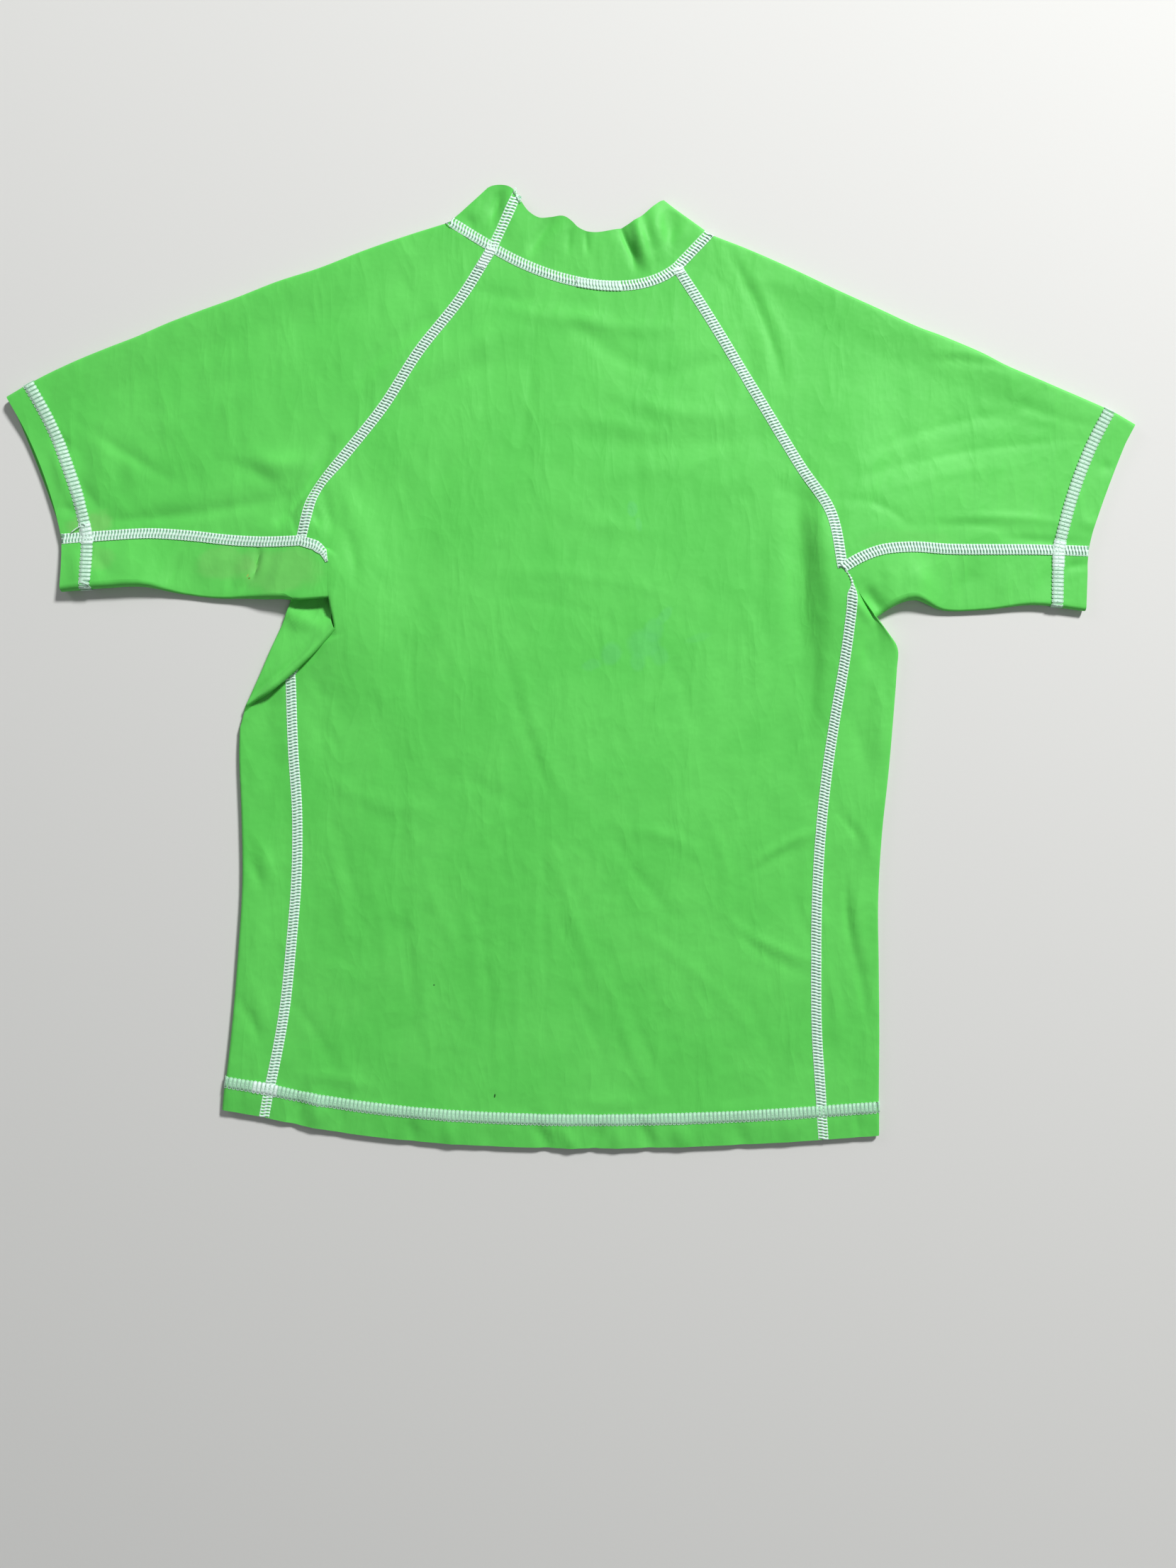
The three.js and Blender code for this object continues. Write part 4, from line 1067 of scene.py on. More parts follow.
# Half of one strand of a flatlock seam, a flat bundle of filaments. It leaves a loop on one edge and
# slants on through the middle; the other half, turned round, ends in a loop half a pitch on. a and wide
# are in pitches, across is a share of the half width, and up and high of the thread's thickness.
HALF_STRAND = table(
    "a across up wide high tone",
    [
        [0.00, -1.00, 0.12, 0.30, 0.14, 0.22],
        [0.00, -0.86, 0.30, 0.47, 0.22, 0.14],
        [0.00, -0.72, 0.36, 0.38, 0.24, 0.20],
        [0.02, -0.50, 0.38, 0.33, 0.24, 0.26],
        [0.06, -0.30, 0.40, 0.38, 0.22, 0.26],
        [0.15, -0.13, 0.46, 0.48, 0.20, 0.22],
    ],
)
OTHER_HALF = turned(HALF_STRAND)
OTHER_HALF.update(a=0.5 - OTHER_HALF["a"], across=-OTHER_HALF["across"])
STRAND = joined(HALF_STRAND, OTHER_HALF)
THIN_STRAND = {name: values[1::2] for name, values in STRAND.items()}  # on the hidden side
BED_PITCH = 2.2  # rings of a seam's bed, in millimetres


def toned(parts, tones, sides):
    """A set of threads with the tone of each of their points."""
    vertices, faces = parts
    return vertices, faces, np.tile(np.repeat(tones, sides), len(vertices) // (len(tones) * sides))


def edge_loops(track, start, end, pitch, edge, bulge, phase, wide, high, up, per_pitch, base, side):
    """A thread that scallops along one side: its distance from the seam, edge(s), swells by the bulge
    once a pitch as the size of a sine."""
    count = max(int(round((end - start) / pitch)), 2) * per_pitch + 1
    s = np.linspace(start, end, count)
    swell = np.abs(np.sin(math.pi * ((s - start) / pitch + phase)))
    across = side * edge(s) * (1 + bulge * (swell - 0.5))
    return threads(track, s[None], across[None], np.full((1, count), up), wide, high, 4, base)


def seam_bed(track, start, end, half, up, wide_at, base):
    """The flat band under a seam's strands or rungs: a low crown, closed below. Its tone comes from the
    caller.
    """
    count = max(int((end - start) / BED_PITCH), 3)
    s = np.linspace(start, end, count)
    share = np.concatenate([np.linspace(-1, 1, 7), np.linspace(1, -1, 3)[1:-1]])
    crown = np.concatenate([0.1 + 0.9 * (1 - np.linspace(-1, 1, 7) ** 4), [-1.0]])
    across = share * half * wide_at(s)[:, None]
    along = np.broadcast_to(s[:, None], across.shape)
    return swept(on_track(track, along, across, np.broadcast_to(crown * up, across.shape), base)[None])


def flatlock(
    track, sizes, start=0.0, end=None, width=None, fine=True, phase=0.0, shift=0.0, tone=0.0, lift=0.0
):
    """Flatlock seam along a track: strands across it, a scalloped thread down each edge and a bed under
    them, darkened with painted shade, with a raised middle. width(s) scales it where the seam rolls under,
    shift moves it across and phase along it, tone lightens a second run over the first and lift raises
    the whole seam."""
    end = track["s"][-1] if end is None else end
    wide_at = width if width is not None else np.ones_like
    half, pitch = sizes.flatlock_width / MM / 2, sizes.flatlock_pitch / MM
    thick = sizes.thread / MM
    shape = STRAND if fine else THIN_STRAND
    count = int((end - start) / pitch)
    sides = 5 if fine else 4
    base = SKIN + lift + (0.25 if tone else 0.0)
    s = start + (np.arange(count)[:, None] + 0.25 + phase + shape["a"]) * pitch
    inside = (s > start - 0.6 * pitch) & (s < end + 0.6 * pitch)
    s = s[inside.all(axis=1)]
    across = shape["across"] * half * wide_at(s) + shift
    up = np.broadcast_to(shape["up"] * thick, s.shape)
    wide = shape["wide"] * pitch * np.ones_like(s)
    strands = threads(track, s, across, up, wide, shape["high"] * thick, sides, base)
    parts = [toned(strands, np.maximum(shape["tone"] - tone, 0), sides)]
    if tone:
        return parts

    def edge(s):
        return half * 0.97 * wide_at(s)

    for side, start_phase in ((-1, 0.25), (1, 0.75)):
        loops = edge_loops(
            track, start, end, pitch, edge, 0.15, start_phase + phase, thick * 0.3,
            thick * 0.24, thick * 0.2, 4 if fine else 2, base, side,
        )
        parts.append((*loops, 0.2))
    # the bed: crossed threads with the cloth between them, in a tone darkened as painted shade
    parts.append((*seam_bed(track, start, end, half * 0.95, thick * 0.16, wide_at, base), DEEP_SHADED))
    if fine:
        parts.append((*seam_bed(track, start, end, half * 0.24, thick * 0.42, wide_at, base), 0.3))
    return parts


# One rung of a cover stitch, seen from above, is a long loop of thread with a finer strand and a knot
# inside it. Angles go round the loop; along is in pitches and across a share of the half width.
RUNG_LOOP = table(
    "along across",
    [
        [0.38, -0.74], [0.35, -0.24], [0.35, 0.24], [0.38, 0.74], [0.28, 0.94], [0.00, 1.00],
        [-0.28, 0.94], [-0.38, 0.74], [-0.35, 0.24], [-0.35, -0.24], [-0.38, -0.74], [-0.28, -0.94],
        [0.00, -1.00], [0.28, -0.94],
    ],
)
RUNG_STRANDS = table("from to", [[-0.11, -0.15], [0.12, 0.10]])


def cover_stitch(track, sizes, lift=0.0, start=0.0, end=None, second=False, tone=SHEER):
    """Cover stitch along a track: at each pitch a rung of a loop, a plate, two strands and a knot, and a
    bed under them, darkened as painted shade between the rungs. second sews it once more over itself,
    half a pitch on and in doubled, whiter thread; tone is that of the single one."""
    half, thick = sizes.cover_width / MM / 2, sizes.thread / MM
    end = track["s"][-1] if end is None else end
    count = int(round((end - start) / (sizes.cover_pitch / MM)))
    pitch = (end - start) / count
    base = SKIN + lift + (0.3 if second else 0.08)
    centre = start + (np.arange(count)[:, None] + (0.0 if second else 0.5)) * pitch
    half = half * (1.06 if second else 1.0)
    tone = WHITE if second else tone
    loop = threads(
        track, centre + RUNG_LOOP["along"] * pitch, RUNG_LOOP["across"] * half * np.ones_like(centre),
        np.full((count, len(RUNG_LOOP["along"])), thick * 0.26), thick * 0.24, thick * 0.16, 4, base,
        closed=True,
    )
    parts = [(*loop, WHITE if second else LAID)]
    share = np.array([-0.9, -0.3, 0.3, 0.9])
    shape = np.broadcast_to(share * half, (count, 4))
    plate = threads(
        track, np.broadcast_to(centre, shape.shape), shape, np.full(shape.shape, thick * 0.1),
        pitch * 0.37, thick * 0.2, 6, base,
    )
    parts.append((*plate, tone))
    for k in range(2):
        s = centre + mix(RUNG_STRANDS["from"][k], RUNG_STRANDS["to"][k], (share + 1) / 2) * pitch
        up = np.full(shape.shape, thick * 0.16)
        strand = threads(track, s, shape, up, thick * 0.24, thick * 0.1, 4, base)
        parts.append((*strand, WHITE if second else tone - 0.2))
    knot = np.array([-0.30, 0.0, 0.30])
    shape = np.broadcast_to(knot, (count, 3))
    knots = threads(
        track, np.broadcast_to(centre, shape.shape), shape, np.full(shape.shape, thick * 0.38),
        thick * np.array([0.2, 0.42, 0.2]), thick * np.array([0.1, 0.24, 0.1]), 5, base,
    )
    parts.append((*knots, 0.15))
    if not second:
        # painted shade: a dark band under the rungs stands for the cloth in shadow between them
        bed = seam_bed(track, start, end, half * 0.9, thick * 0.06, np.ones_like, base)
        parts.append((*bed, DEEP_SHADED))
    return parts


def nearest(track, point):
    """Distance along a track of its place nearest to a plan point, on the upper layer."""
    away = np.hypot(track["line"][:, 0] - point[0], track["line"][:, 1] - point[1])
    above = track["normal"][:, 2] > -0.2
    return track["s"][np.argmin(np.where(above, away, np.inf))]


def grid_lines(grid, row, distances):
    """Lines across a grid at the given distances from its first (0) or last (-1) row, measured along the
    columns."""
    ordered = grid if row == 0 else grid[::-1]
    steps = np.linalg.norm(np.diff(ordered, axis=0), axis=2)
    walked = np.concatenate([np.zeros((1, grid.shape[1])), np.cumsum(steps, axis=0)])
    lines = []
    for distance in distances:
        index = np.clip((walked < distance).sum(axis=0) - 1, 0, len(ordered) - 2)
        column = np.arange(grid.shape[1])
        span = np.maximum(walked[index + 1, column] - walked[index, column], 1e-9)
        share = ((distance - walked[index, column]) / span)[:, None]
        lines.append(mix(ordered[index, column], ordered[index + 1, column], share))
    return lines


def ring_track(parts, distance, half, outward):
    """Closed track round a hem or cuff, at a distance from its edge. parts are (grid, row, turned)."""
    lines = [[], [], []]
    for grid, row, backwards in parts:
        found = grid_lines(grid, row, (distance, distance - half, distance + half))
        for all_lines, line in zip(lines, found):
            all_lines.append(line[::-1] if backwards else line)
    line, outer, inner = (np.concatenate(points) for points in lines)
    return make_track(line, outer, inner, outward, closed=True)


BESIDE = 3.0  # how far from a seam the slope of the cloth is taken
BELL_WIDTH = 1.4
OVER_COLUMNS = 10  # of a grid's columns from its seam, which mean heights are taken from


def beside(grid, column):
    """Points about that far from an edge column, over the cloth."""
    if column != 0:
        grid = grid[:, ::-1]
    steps = np.cumsum(np.linalg.norm(np.diff(grid, axis=1), axis=2), axis=1)
    index = np.clip((steps < BESIDE).sum(axis=1) + 1, 1, grid.shape[1] - 1)
    return grid[np.arange(len(grid)), index]


def over(grid, line, toward):
    """Points that far across a line, on the side of the given points, at the height of the cloth there:
    the mean of the grid's heights, each weighted by a bell curve of its distance."""
    ahead = unit(np.gradient(line[:, :2], axis=0))
    side = np.stack([-ahead[:, 1], ahead[:, 0]], axis=-1)
    side = side * np.sign(((toward - line)[:, :2] * side).sum(axis=1, keepdims=True))
    place = line[:, :2] + BESIDE * side
    points = grid.reshape(-1, 3)
    away = np.linalg.norm(place[:, None] - points[:, :2], axis=2)
    weight = np.exp(-((away / BELL_WIDTH) ** 2))
    height = weight @ points[:, 2] / weight.sum(axis=1)
    return np.concatenate([place, height[:, None]], axis=1)


def seam_tracks():
    """Tracks of every flatlock seam by name."""
    g = garment()
    rag = sum(RAGLAN_STEPS) + 1
    low = sum(SIDE_STEPS)
    up, down = (0, 0, 1), (0, 0, -1)
    back, front = g["back_panel"], g["front_panel"]
    tracks = {}
    for side, column in (("left", 0), ("right", -1)):
        sleeve, panel = g["sleeve_" + side], g["side_panel_" + side]
        inner = beside(back, column)[::-1][:rag]
        line = sleeve[:rag, 0]
        outer = over(sleeve[:, :OVER_COLUMNS], line, beside(sleeve, 0)[:rag])
        tracks["raglan_" + side] = make_track(line, inner, outer, up)
        tracks["raglan_under_" + side] = under_track(sleeve[:rag, -1], sleeve[:rag, -3], down)
        out = len(panel) - len(sleeve[rag - 1:])
        seam = sleeve[rag - 1:, 0]
        tracks["underarm_" + side] = make_track(
            seam, beside(sleeve, 0)[rag - 1:], beside(panel, 0)[out:], up
        )
        tracks["underarm_under_" + side] = under_track(sleeve[rag - 1:, -1], sleeve[rag - 1:, -3], down)
        count = low + 1 + (LEFT_CREASE_STEPS[0] if side == "left" else sum(RIGHT_ARMPIT_STEPS))
        tracks["side_" + side] = make_track(
            panel[:count, 0], beside(panel, 0)[:count], beside(back, column)[:count], up
        )
        tracks["side_under_" + side] = under_track(panel[:out + 1, -1], panel[:out + 1, -3], down)
    strip = g["left_strip_start"]
    panel = g["side_panel_left"]
    rows = sum(LEFT_CREASE_STEPS[-3:]) + 1
    first = low + sum(LEFT_CREASE_STEPS) - rows + 1
    line = panel[strip:strip + rows, 0][::-1]
    tracks["armpit_left"] = make_track(
        line,
        over(back[:, :OVER_COLUMNS], line, beside(back, 0)[first:first + rows][::-1]),
        beside(panel, 0)[strip:strip + rows][::-1],
        up,
    )
    ring = [back[-1], g["sleeve_right"][0], front[-1][::-1], g["sleeve_left"][0][::-1]]
    inside = [back[-3], g["sleeve_right"][2], front[-2][::-1], g["sleeve_left"][2][::-1]]
    line = np.concatenate(ring)
    keep = np.append(True, np.linalg.norm(np.diff(line, axis=0), axis=1) > 1e-3)
    tracks["neck"] = make_track(
        line[keep][:-1], collar_side(line[keep][:-1]), np.concatenate(inside)[keep][:-1], up, closed=True
    )
    collar = g["collar"]
    tracks["join"] = make_track(collar[:, 0], collar[:, -8], collar[:, 5], up)
    return tracks


def under_track(line, inside, outward):
    """Track of a seam of the flat lower layer: the way across is level and square to the line."""
    ahead = unit(np.gradient(line, axis=0))
    across = unit(np.cross(ahead, np.array([0.0, 0.0, 1.0])))
    if ((inside - line) * across).sum() < 0:
        across = -across
    return make_track(line, line - across, line + across, outward)


def collar_side(line):
    """Points on the collar a little above its lower edge, beside each point of the neck line."""
    collar = garment()["collar"]
    near = collar[2]
    at = run_length(collar[0])
    s = run_length(line)
    share = s / s[-1] * at[-1]
    return np.stack([np.interp(share, at, near[:, i]) for i in range(3)], axis=-1)


# ---------------------------------------------------------------- materials
def linear(hex_colour):
    """sRGB hex text as a linear colour with alpha."""
    parts = [int(hex_colour[i:i + 2], 16) / 255 for i in (1, 3, 5)]
    return tuple(c / 12.92 if c <= 0.04045 else ((c + 0.055) / 1.055) ** 2.4 for c in parts) + (1.0,)


def add_node(tree, kind, inputs=(), **settings):
    """Adds a node with its settings. An input is a value, or a socket that is linked to it."""
    node = tree.nodes.new("ShaderNode" + kind)
    for name, value in settings.items():
        setattr(node, name, value)
    for key, value in dict(inputs).items():
        if isinstance(value, bpy.types.NodeSocket):
            tree.links.new(value, node.inputs[key])
        else:
            node.inputs[key].default_value = value
    return node


def new_material(name, colour):
    """An empty node material and its shader, which is a Principled BSDF."""
    material = bpy.data.materials.new(name)
    material.use_nodes = True
    material.diffuse_color = colour
    tree = material.node_tree
    tree.nodes.clear()
    shader = add_node(tree, "BsdfPrincipled")
    output = add_node(tree, "OutputMaterial", {"Surface": shader.outputs["BSDF"]})
    output.is_active_output = True
    return material, tree, shader


def blend(tree, share, first, second):
    """Socket of the two colours mixed by the share."""
    mixer = add_node(tree, "Mix", {0: share, 6: first, 7: second}, data_type="RGBA")
    return mixer.outputs[2]


def ramp(tree, value, low, high, bottom=0.0, top=1.0):
    """Socket of the value carried smoothly from low..high to bottom..top."""
    ranged = add_node(
        tree, "MapRange", {0: value, 1: low, 2: high, 3: bottom, 4: top}, interpolation_type="SMOOTHSTEP"
    )
    return ranged.outputs[0]


def spot(tree, coords, place, size, angle=0.0, ragged=0.0, grain=60.0):
    """Socket that is 1 in the middle of an oval place and 0 outside it. Noise makes its edge ragged."""
    local = add_node(
        tree,
        "Mapping",
        {0: coords, 1: (place[0] * MM, place[1] * MM, 0), 2: (0, 0, math.radians(angle)),
         3: (size[0] * MM, size[1] * MM, 1.0)},
        vector_type="TEXTURE",
    ).outputs[0]
    flat = add_node(tree, "VectorMath", {0: local, 1: (1, 1, 0)}, operation="MULTIPLY").outputs[0]
    away = add_node(tree, "VectorMath", {0: flat}, operation="LENGTH").outputs["Value"]
    if ragged:
        noise = add_node(tree, "TexNoise", {"Vector": coords, "Scale": grain, "Detail": 4.0}).outputs[0]
        shifted = add_node(tree, "Math", {0: noise, 1: -0.5}, operation="ADD").outputs[0]
        away = add_node(
            tree, "Math", {0: shifted, 1: ragged, 2: away}, operation="MULTIPLY_ADD"
        ).outputs[0]
    return ramp(tree, away, 0.55, 1.0, 1.0, 0.0)


# Faint dye marks and dirt: place, size, turn, raggedness, grain, colour and strength.
MARKS = [
    ((51, 22), (14, 11), 10, 0.5, 90, "#5fcb6a", 0.55),
    ((57, 31), (8, 9), 0, 0.5, 90, "#5fcb6a", 0.50),
    ((64, 41), (4, 9), -35, 0.4, 90, "#5fcb6a", 0.45),
    ((47, 9), (6, 7), 20, 0.5, 90, "#5fcb6a", 0.45),
    ((62, 14), (7, 8), 0, 0.6, 90, "#5fcb6a", 0.42),
    ((29, 14), (9, 9), 30, 0.7, 90, "#5fc96a", 0.55),
    ((16, 6), (8, 5), 15, 0.7, 90, "#5fc96a", 0.42),
    ((40, 112), (4.5, 7), 5, 0.6, 90, "#5fcb6e", 0.5),
    ((44.5, 102), (2.6, 6), 10, 0.6, 90, "#5fcb6e", 0.3),
    ((87, 27), (11, 3.6), 20, 0.9, 70, "#5fcb6a", 0.25),
    ((-196, 62), (34, 20), 4, 0.9, 40, "#88b96c", 0.26),
    ((-232, 66), (30, 13), 6, 1.2, 50, "#8fb970", 0.20),
    ((-324, 88), (18, 12), 20, 1.3, 60, "#93b873", 0.28),
    ((-318, 66), (14, 12), 0, 1.2, 60, "#8fb970", 0.16),
    ((226, 96), (40, 10), 0, 1.3, 50, "#79bd66", 0.12),
]
# Lint and specks caught in the knit: place, half sizes, turn and colour.
SPECKS = [
    ((-38.7, -285.2), (0.7, 1.7), -8, "#1f5a1c"),
    ((-82.1, -212.4), (0.8, 0.8), 0, "#3c8a38"),
    ((-215.4, 56.2), (0.9, 0.6), 35, "#6d8434"),
    ((-216.4, 58.0), (0.5, 1.4), -30, "#a3b456"),
]


STREAK_PITCH = 7.54


def jersey():
    """Nylon and elastane swim tricot, warp-knitted and dyed through: even, slightly silky, with a soft
    sheen at grazing angles, faint clouding of the dye and faint streaks along its ribs."""
    found = bpy.data.materials.get("nylon_swim_tricot")
    if found:
        return found
    colours = bpy.context.scene.swim_top_colours
    base, light = tuple(colours.cloth) + (1.0,), tuple(colours.cloth_light) + (1.0,)
    material, tree, shader = new_material("nylon_swim_tricot", base)
    where = add_node(tree, "TexCoord")
    coords, uv = where.outputs["Object"], where.outputs["UV"]
    # clouding of the dye, in patches of about 70 mm and 12 mm
    broad = add_node(tree, "TexNoise", {"Vector": coords, "Scale": 14.0, "Detail": 3.0}).outputs[0]
    small = add_node(tree, "TexNoise", {"Vector": coords, "Scale": 85.0, "Detail": 3.0}).outputs[0]
    colour = blend(tree, ramp(tree, broad, 0.35, 0.65), base, light)
    colour = add_node(
        tree, "HueSaturation", {"Value": ramp(tree, small, 0.3, 0.7, 0.985, 1.015), "Color": colour}
    ).outputs[0]
    for place, size, angle, ragged, grain, tint, strength in MARKS:
        mark = spot(tree, coords, place, size, angle, ragged, grain)
        share = add_node(tree, "Math", {0: mark, 1: strength}, operation="MULTIPLY").outputs[0]
        colour = blend(tree, share, colour, linear(tint))
    for place, size, angle, tint in SPECKS:
        colour = blend(tree, spot(tree, coords, place, size, angle), colour, linear(tint))
    tree.links.new(colour, shader.inputs["Base Color"])
    # real ribs are 0.35 mm apart, too fine to show; what shows is a faint streak every 7.5 mm or so. The
    # texture's bands are a tenth of pi apart at a scale of 1
    ribs = add_node(
        tree, "TexWave",
        {"Vector": uv, "Scale": math.pi / 10 / (STREAK_PITCH * MM), "Distortion": 1.0, "Detail": 2.0,
         "Detail Scale": 3.0},
        bands_direction="X",
    ).outputs["Fac"]
    # slack of the cloth, in swells of about 20 mm and less
    slack = add_node(tree, "TexNoise", {"Vector": coords, "Scale": 42.0, "Detail": 3.0}).outputs[0]
    bump = add_node(tree, "Bump", {"Strength": 1.0, "Distance": 0.8 * MM, "Height": slack})
    # small sharp creases, every 20 mm or so, which lie one way on one layer and another on the next
    for turn, height in ((28, 0.22), (-62, 0.2)):
        laid = add_node(
            tree, "Mapping", {0: coords, 2: (0, 0, math.radians(turn)), 3: (1.0, 0.42, 1.0)},
        ).outputs[0]
        folds = add_node(
            tree, "TexNoise",
            {"Vector": laid, "Scale": 46.0, "Detail": 2.0, "Offset": 1.0, "Gain": 1.4,
             "Distortion": 0.5},
            noise_type="RIDGED_MULTIFRACTAL",
        ).outputs[0]
        bump = add_node(
            tree, "Bump",
            {"Strength": 1.0, "Distance": height * MM, "Height": folds, "Normal": bump.outputs[0]},
        )
    rough = add_node(
        tree, "Bump", {"Strength": 0.14, "Distance": 0.03 * MM, "Height": ribs, "Normal": bump.outputs[0]}
    )
    tree.links.new(rough.outputs[0], shader.inputs["Normal"])
    shader.inputs["Roughness"].default_value = 0.58
    shader.inputs["IOR"].default_value = 1.46
    shader.inputs["Specular IOR Level"].default_value = 0.32
    shader.inputs["Sheen Weight"].default_value = 0.12
    shader.inputs["Sheen Roughness"].default_value = 0.45
    shader.inputs["Sheen Tint"].default_value = linear("#d9f7d2")
    return material


def thread():
    """Textured white polyester sewing thread: matt, slightly translucent, lit by the cloth below. The
    tone of each vertex goes from bare thread (0) to the crossed threads down in the seam (1), whose
    colour is darkened as painted shade."""
    found = bpy.data.materials.get("textured_polyester_thread")
    if found:
        return found
    colours = bpy.context.scene.swim_top_colours
    white, deep_shaded = tuple(colours.thread) + (1.0,), tuple(colours.thread_bed_shaded) + (1.0,)
    material, tree, shader = new_material("textured_polyester_thread", white)
    tone = add_node(tree, "Attribute", attribute_name="tone").outputs["Fac"]
    coords = add_node(tree, "TexCoord").outputs["Object"]
    # fibres bunch and thin out about every 2 mm
    fibre = add_node(tree, "TexNoise", {"Vector": coords, "Scale": 520.0, "Detail": 2.0}).outputs[0]
    sheer = tuple(colours.thread_sheer) + (1.0,)
    colour = blend(tree, ramp(tree, tone, 0.0, SHEER), white, sheer)
    # the deep tone: crossed threads and cloth in a seam, darkened as painted shade of its gaps
    colour = blend(tree, ramp(tree, tone, SHEER, 1.0), colour, deep_shaded)
    uneven = add_node(
        tree, "HueSaturation", {"Value": ramp(tree, fibre, 0.3, 0.7, 0.93, 1.03), "Color": colour}
    ).outputs[0]
    tree.links.new(uneven, shader.inputs["Base Color"])
    shader.inputs["Roughness"].default_value = 0.6
    shader.inputs["Sheen Weight"].default_value = 0.2
    shader.inputs["Sheen Roughness"].default_value = 0.5
    return material


def floor_paint():
    """Pale matt studio floor: painted board with barely visible roller texture."""
    colours = bpy.context.scene.swim_top_colours
    base = tuple(colours.floor) + (1.0,)
    material, tree, shader = new_material("matt_floor_paint", base)
    coords = add_node(tree, "TexCoord").outputs["Object"]
    grain = add_node(tree, "TexNoise", {"Vector": coords, "Scale": 300.0, "Detail": 2.0}).outputs[0]
    bump = add_node(tree, "Bump", {"Strength": 0.2, "Distance": 0.1 * MM, "Height": grain})
    tree.links.new(bump.outputs[0], shader.inputs["Normal"])
    shader.inputs["Base Color"].default_value = base
    shader.inputs["Roughness"].default_value = 0.85
    return material


# ---------------------------------------------------------------- properties
def length_property(name, description, millimetres):
    """A length that a user can change."""
    return FloatProperty(name=name, description=description, default=millimetres * MM, unit="LENGTH")


class SwimTopSizes(bpy.types.PropertyGroup):
    """Sizes that a user would change."""

    wall: length_property("Cloth", "Thickness of single cloth", 0.7)
    hem_extra: length_property("Hem extra", "Extra thickness where a hem is doubled", 0.5)
    collar_wall: length_property("Collar", "Thickness of the doubled collar", 1.3)
    hem_depth: length_property("Hem depth", "From the hem's edge to the middle of its stitching", 19.3)
    cuff_depth: length_property("Cuff depth", "From the cuff's edge to the middle of its stitching", 18)
    flatlock_width: length_property("Flatlock width", "Width of a flatlock seam", 6.5)
    flatlock_pitch: length_property("Flatlock pitch", "Length of one flatlock stitch", 2.14)
    cover_width: length_property("Cover width", "Width of the cover stitch", 7.8)
    cover_pitch: length_property("Cover pitch", "Length of one cover stitch", 2.75)
    thread: length_property("Thread", "Thickness of the sewing thread, loosely laid", 0.85)


def colour_property(name, description, hex_colour):
    """A colour that a user can change, from its sRGB hex text."""
    return FloatVectorProperty(
        name=name, description=description, subtype="COLOR", size=3, min=0.0, max=1.0,
        default=linear(hex_colour)[:3],
    )


class SwimTopColours(bpy.types.PropertyGroup):
    """Colours that a user would change."""

    cloth: colour_property("Cloth", "Dyed colour of the cloth", "#5acb54")
    cloth_light: colour_property("Cloth, light", "Lighter clouds of the dye", "#61d15a")
    thread: colour_property("Thread", "Bare sewing thread", "#e2fbee")
    thread_sheer: colour_property("Thread, sheer", "Thin thread over the cloth", "#aee6bd")
    # deep tone: crossed threads and cloth in a seam, darkened with painted shade
    thread_bed_shaded: colour_property("Thread, deep", "Crossed threads down in a seam", "#7dbd92")
    floor: colour_property("Floor", "Studio floor", "#d9d9d6")


# ---------------------------------------------------------------- operators
class SWIMTOP_OT_panels(bpy.types.Operator):
    """Makes the back panel and the front panel under it"""

    bl_idname = "swimtop.panels"
    bl_label = "Back and front panels"

    def execute(self, context):
        sizes = context.scene.swim_top_sizes
        for name, rests_on in (("front_panel", ()), ("back_panel", ("front_panel",))):
            cloth_piece(name, hemmed(garment()[name], sizes))
        return {"FINISHED"}


def hemmed(grid, sizes):
    """Thickness of a piece whose first row is the hem."""
    return wall_thickness(grid, sizes.wall / MM, sizes.hem_extra / MM, sizes.hem_depth / MM, 0)


CUFF_SHARE = {"left": 0.95, "right": 1.1}  # the cuffs' depths differ a little


def cuffed(grid, sizes, side):
    """Thickness of a piece whose last row is the cuff."""
    depth = CUFF_SHARE[side] * sizes.cuff_depth / MM
    return wall_thickness(grid, sizes.wall / MM, sizes.hem_extra / MM, depth, -1)


class SWIMTOP_OT_sleeves(bpy.types.Operator):
    """Makes the two raglan sleeves"""

    bl_idname = "swimtop.sleeves"
    bl_label = "Sleeves"

    def execute(self, context):
        sizes = context.scene.swim_top_sizes
        for side in ("left", "right"):
            name = "sleeve_" + side
            cloth_piece(name, cuffed(garment()[name], sizes, side))
        return {"FINISHED"}


class SWIMTOP_OT_sides(bpy.types.Operator):
    """Makes the two side panels, which run from the hem under the arms to the cuffs"""

    bl_idname = "swimtop.sides"
    bl_label = "Side panels"

    def execute(self, context):
        sizes = context.scene.swim_top_sizes
        for side in ("left", "right"):
            name = "side_panel_" + side
            grid = garment()[name]
            cloth_piece(name, np.maximum(hemmed(grid, sizes), cuffed(grid, sizes, side)))
        return {"FINISHED"}


class SWIMTOP_OT_collar(bpy.types.Operator):
    """Makes the stand-up collar, a doubled band that is joined over the left raglan seam"""

    bl_idname = "swimtop.collar"
    bl_label = "Collar"

    def execute(self, context):
        sizes = context.scene.swim_top_sizes
        grid = garment()["collar"]
        cloth_piece("collar", np.full(grid.shape[:2], sizes.collar_wall / MM))
        return {"FINISHED"}


def sew(name, parts):
    """One object of all the given threads."""
    vertices, faces, tone = merged(parts)
    by_size = {}
    for polygons in faces:
        by_size.setdefault(polygons.shape[1], []).append(polygons)
    faces = [np.concatenate(group) for group in by_size.values()]
    return make_object(name, vertices, faces, thread(), THREAD_SLOT, tone=tone)


SECOND_RUN = {"left": 16.0, "right": 5.0}  # length of the raglan's second run from the neck
NECK_OVERLAP = (12, 259)  # middle of the neck seam's second run
NECK_SECOND_RUN = 32.0  # and its length


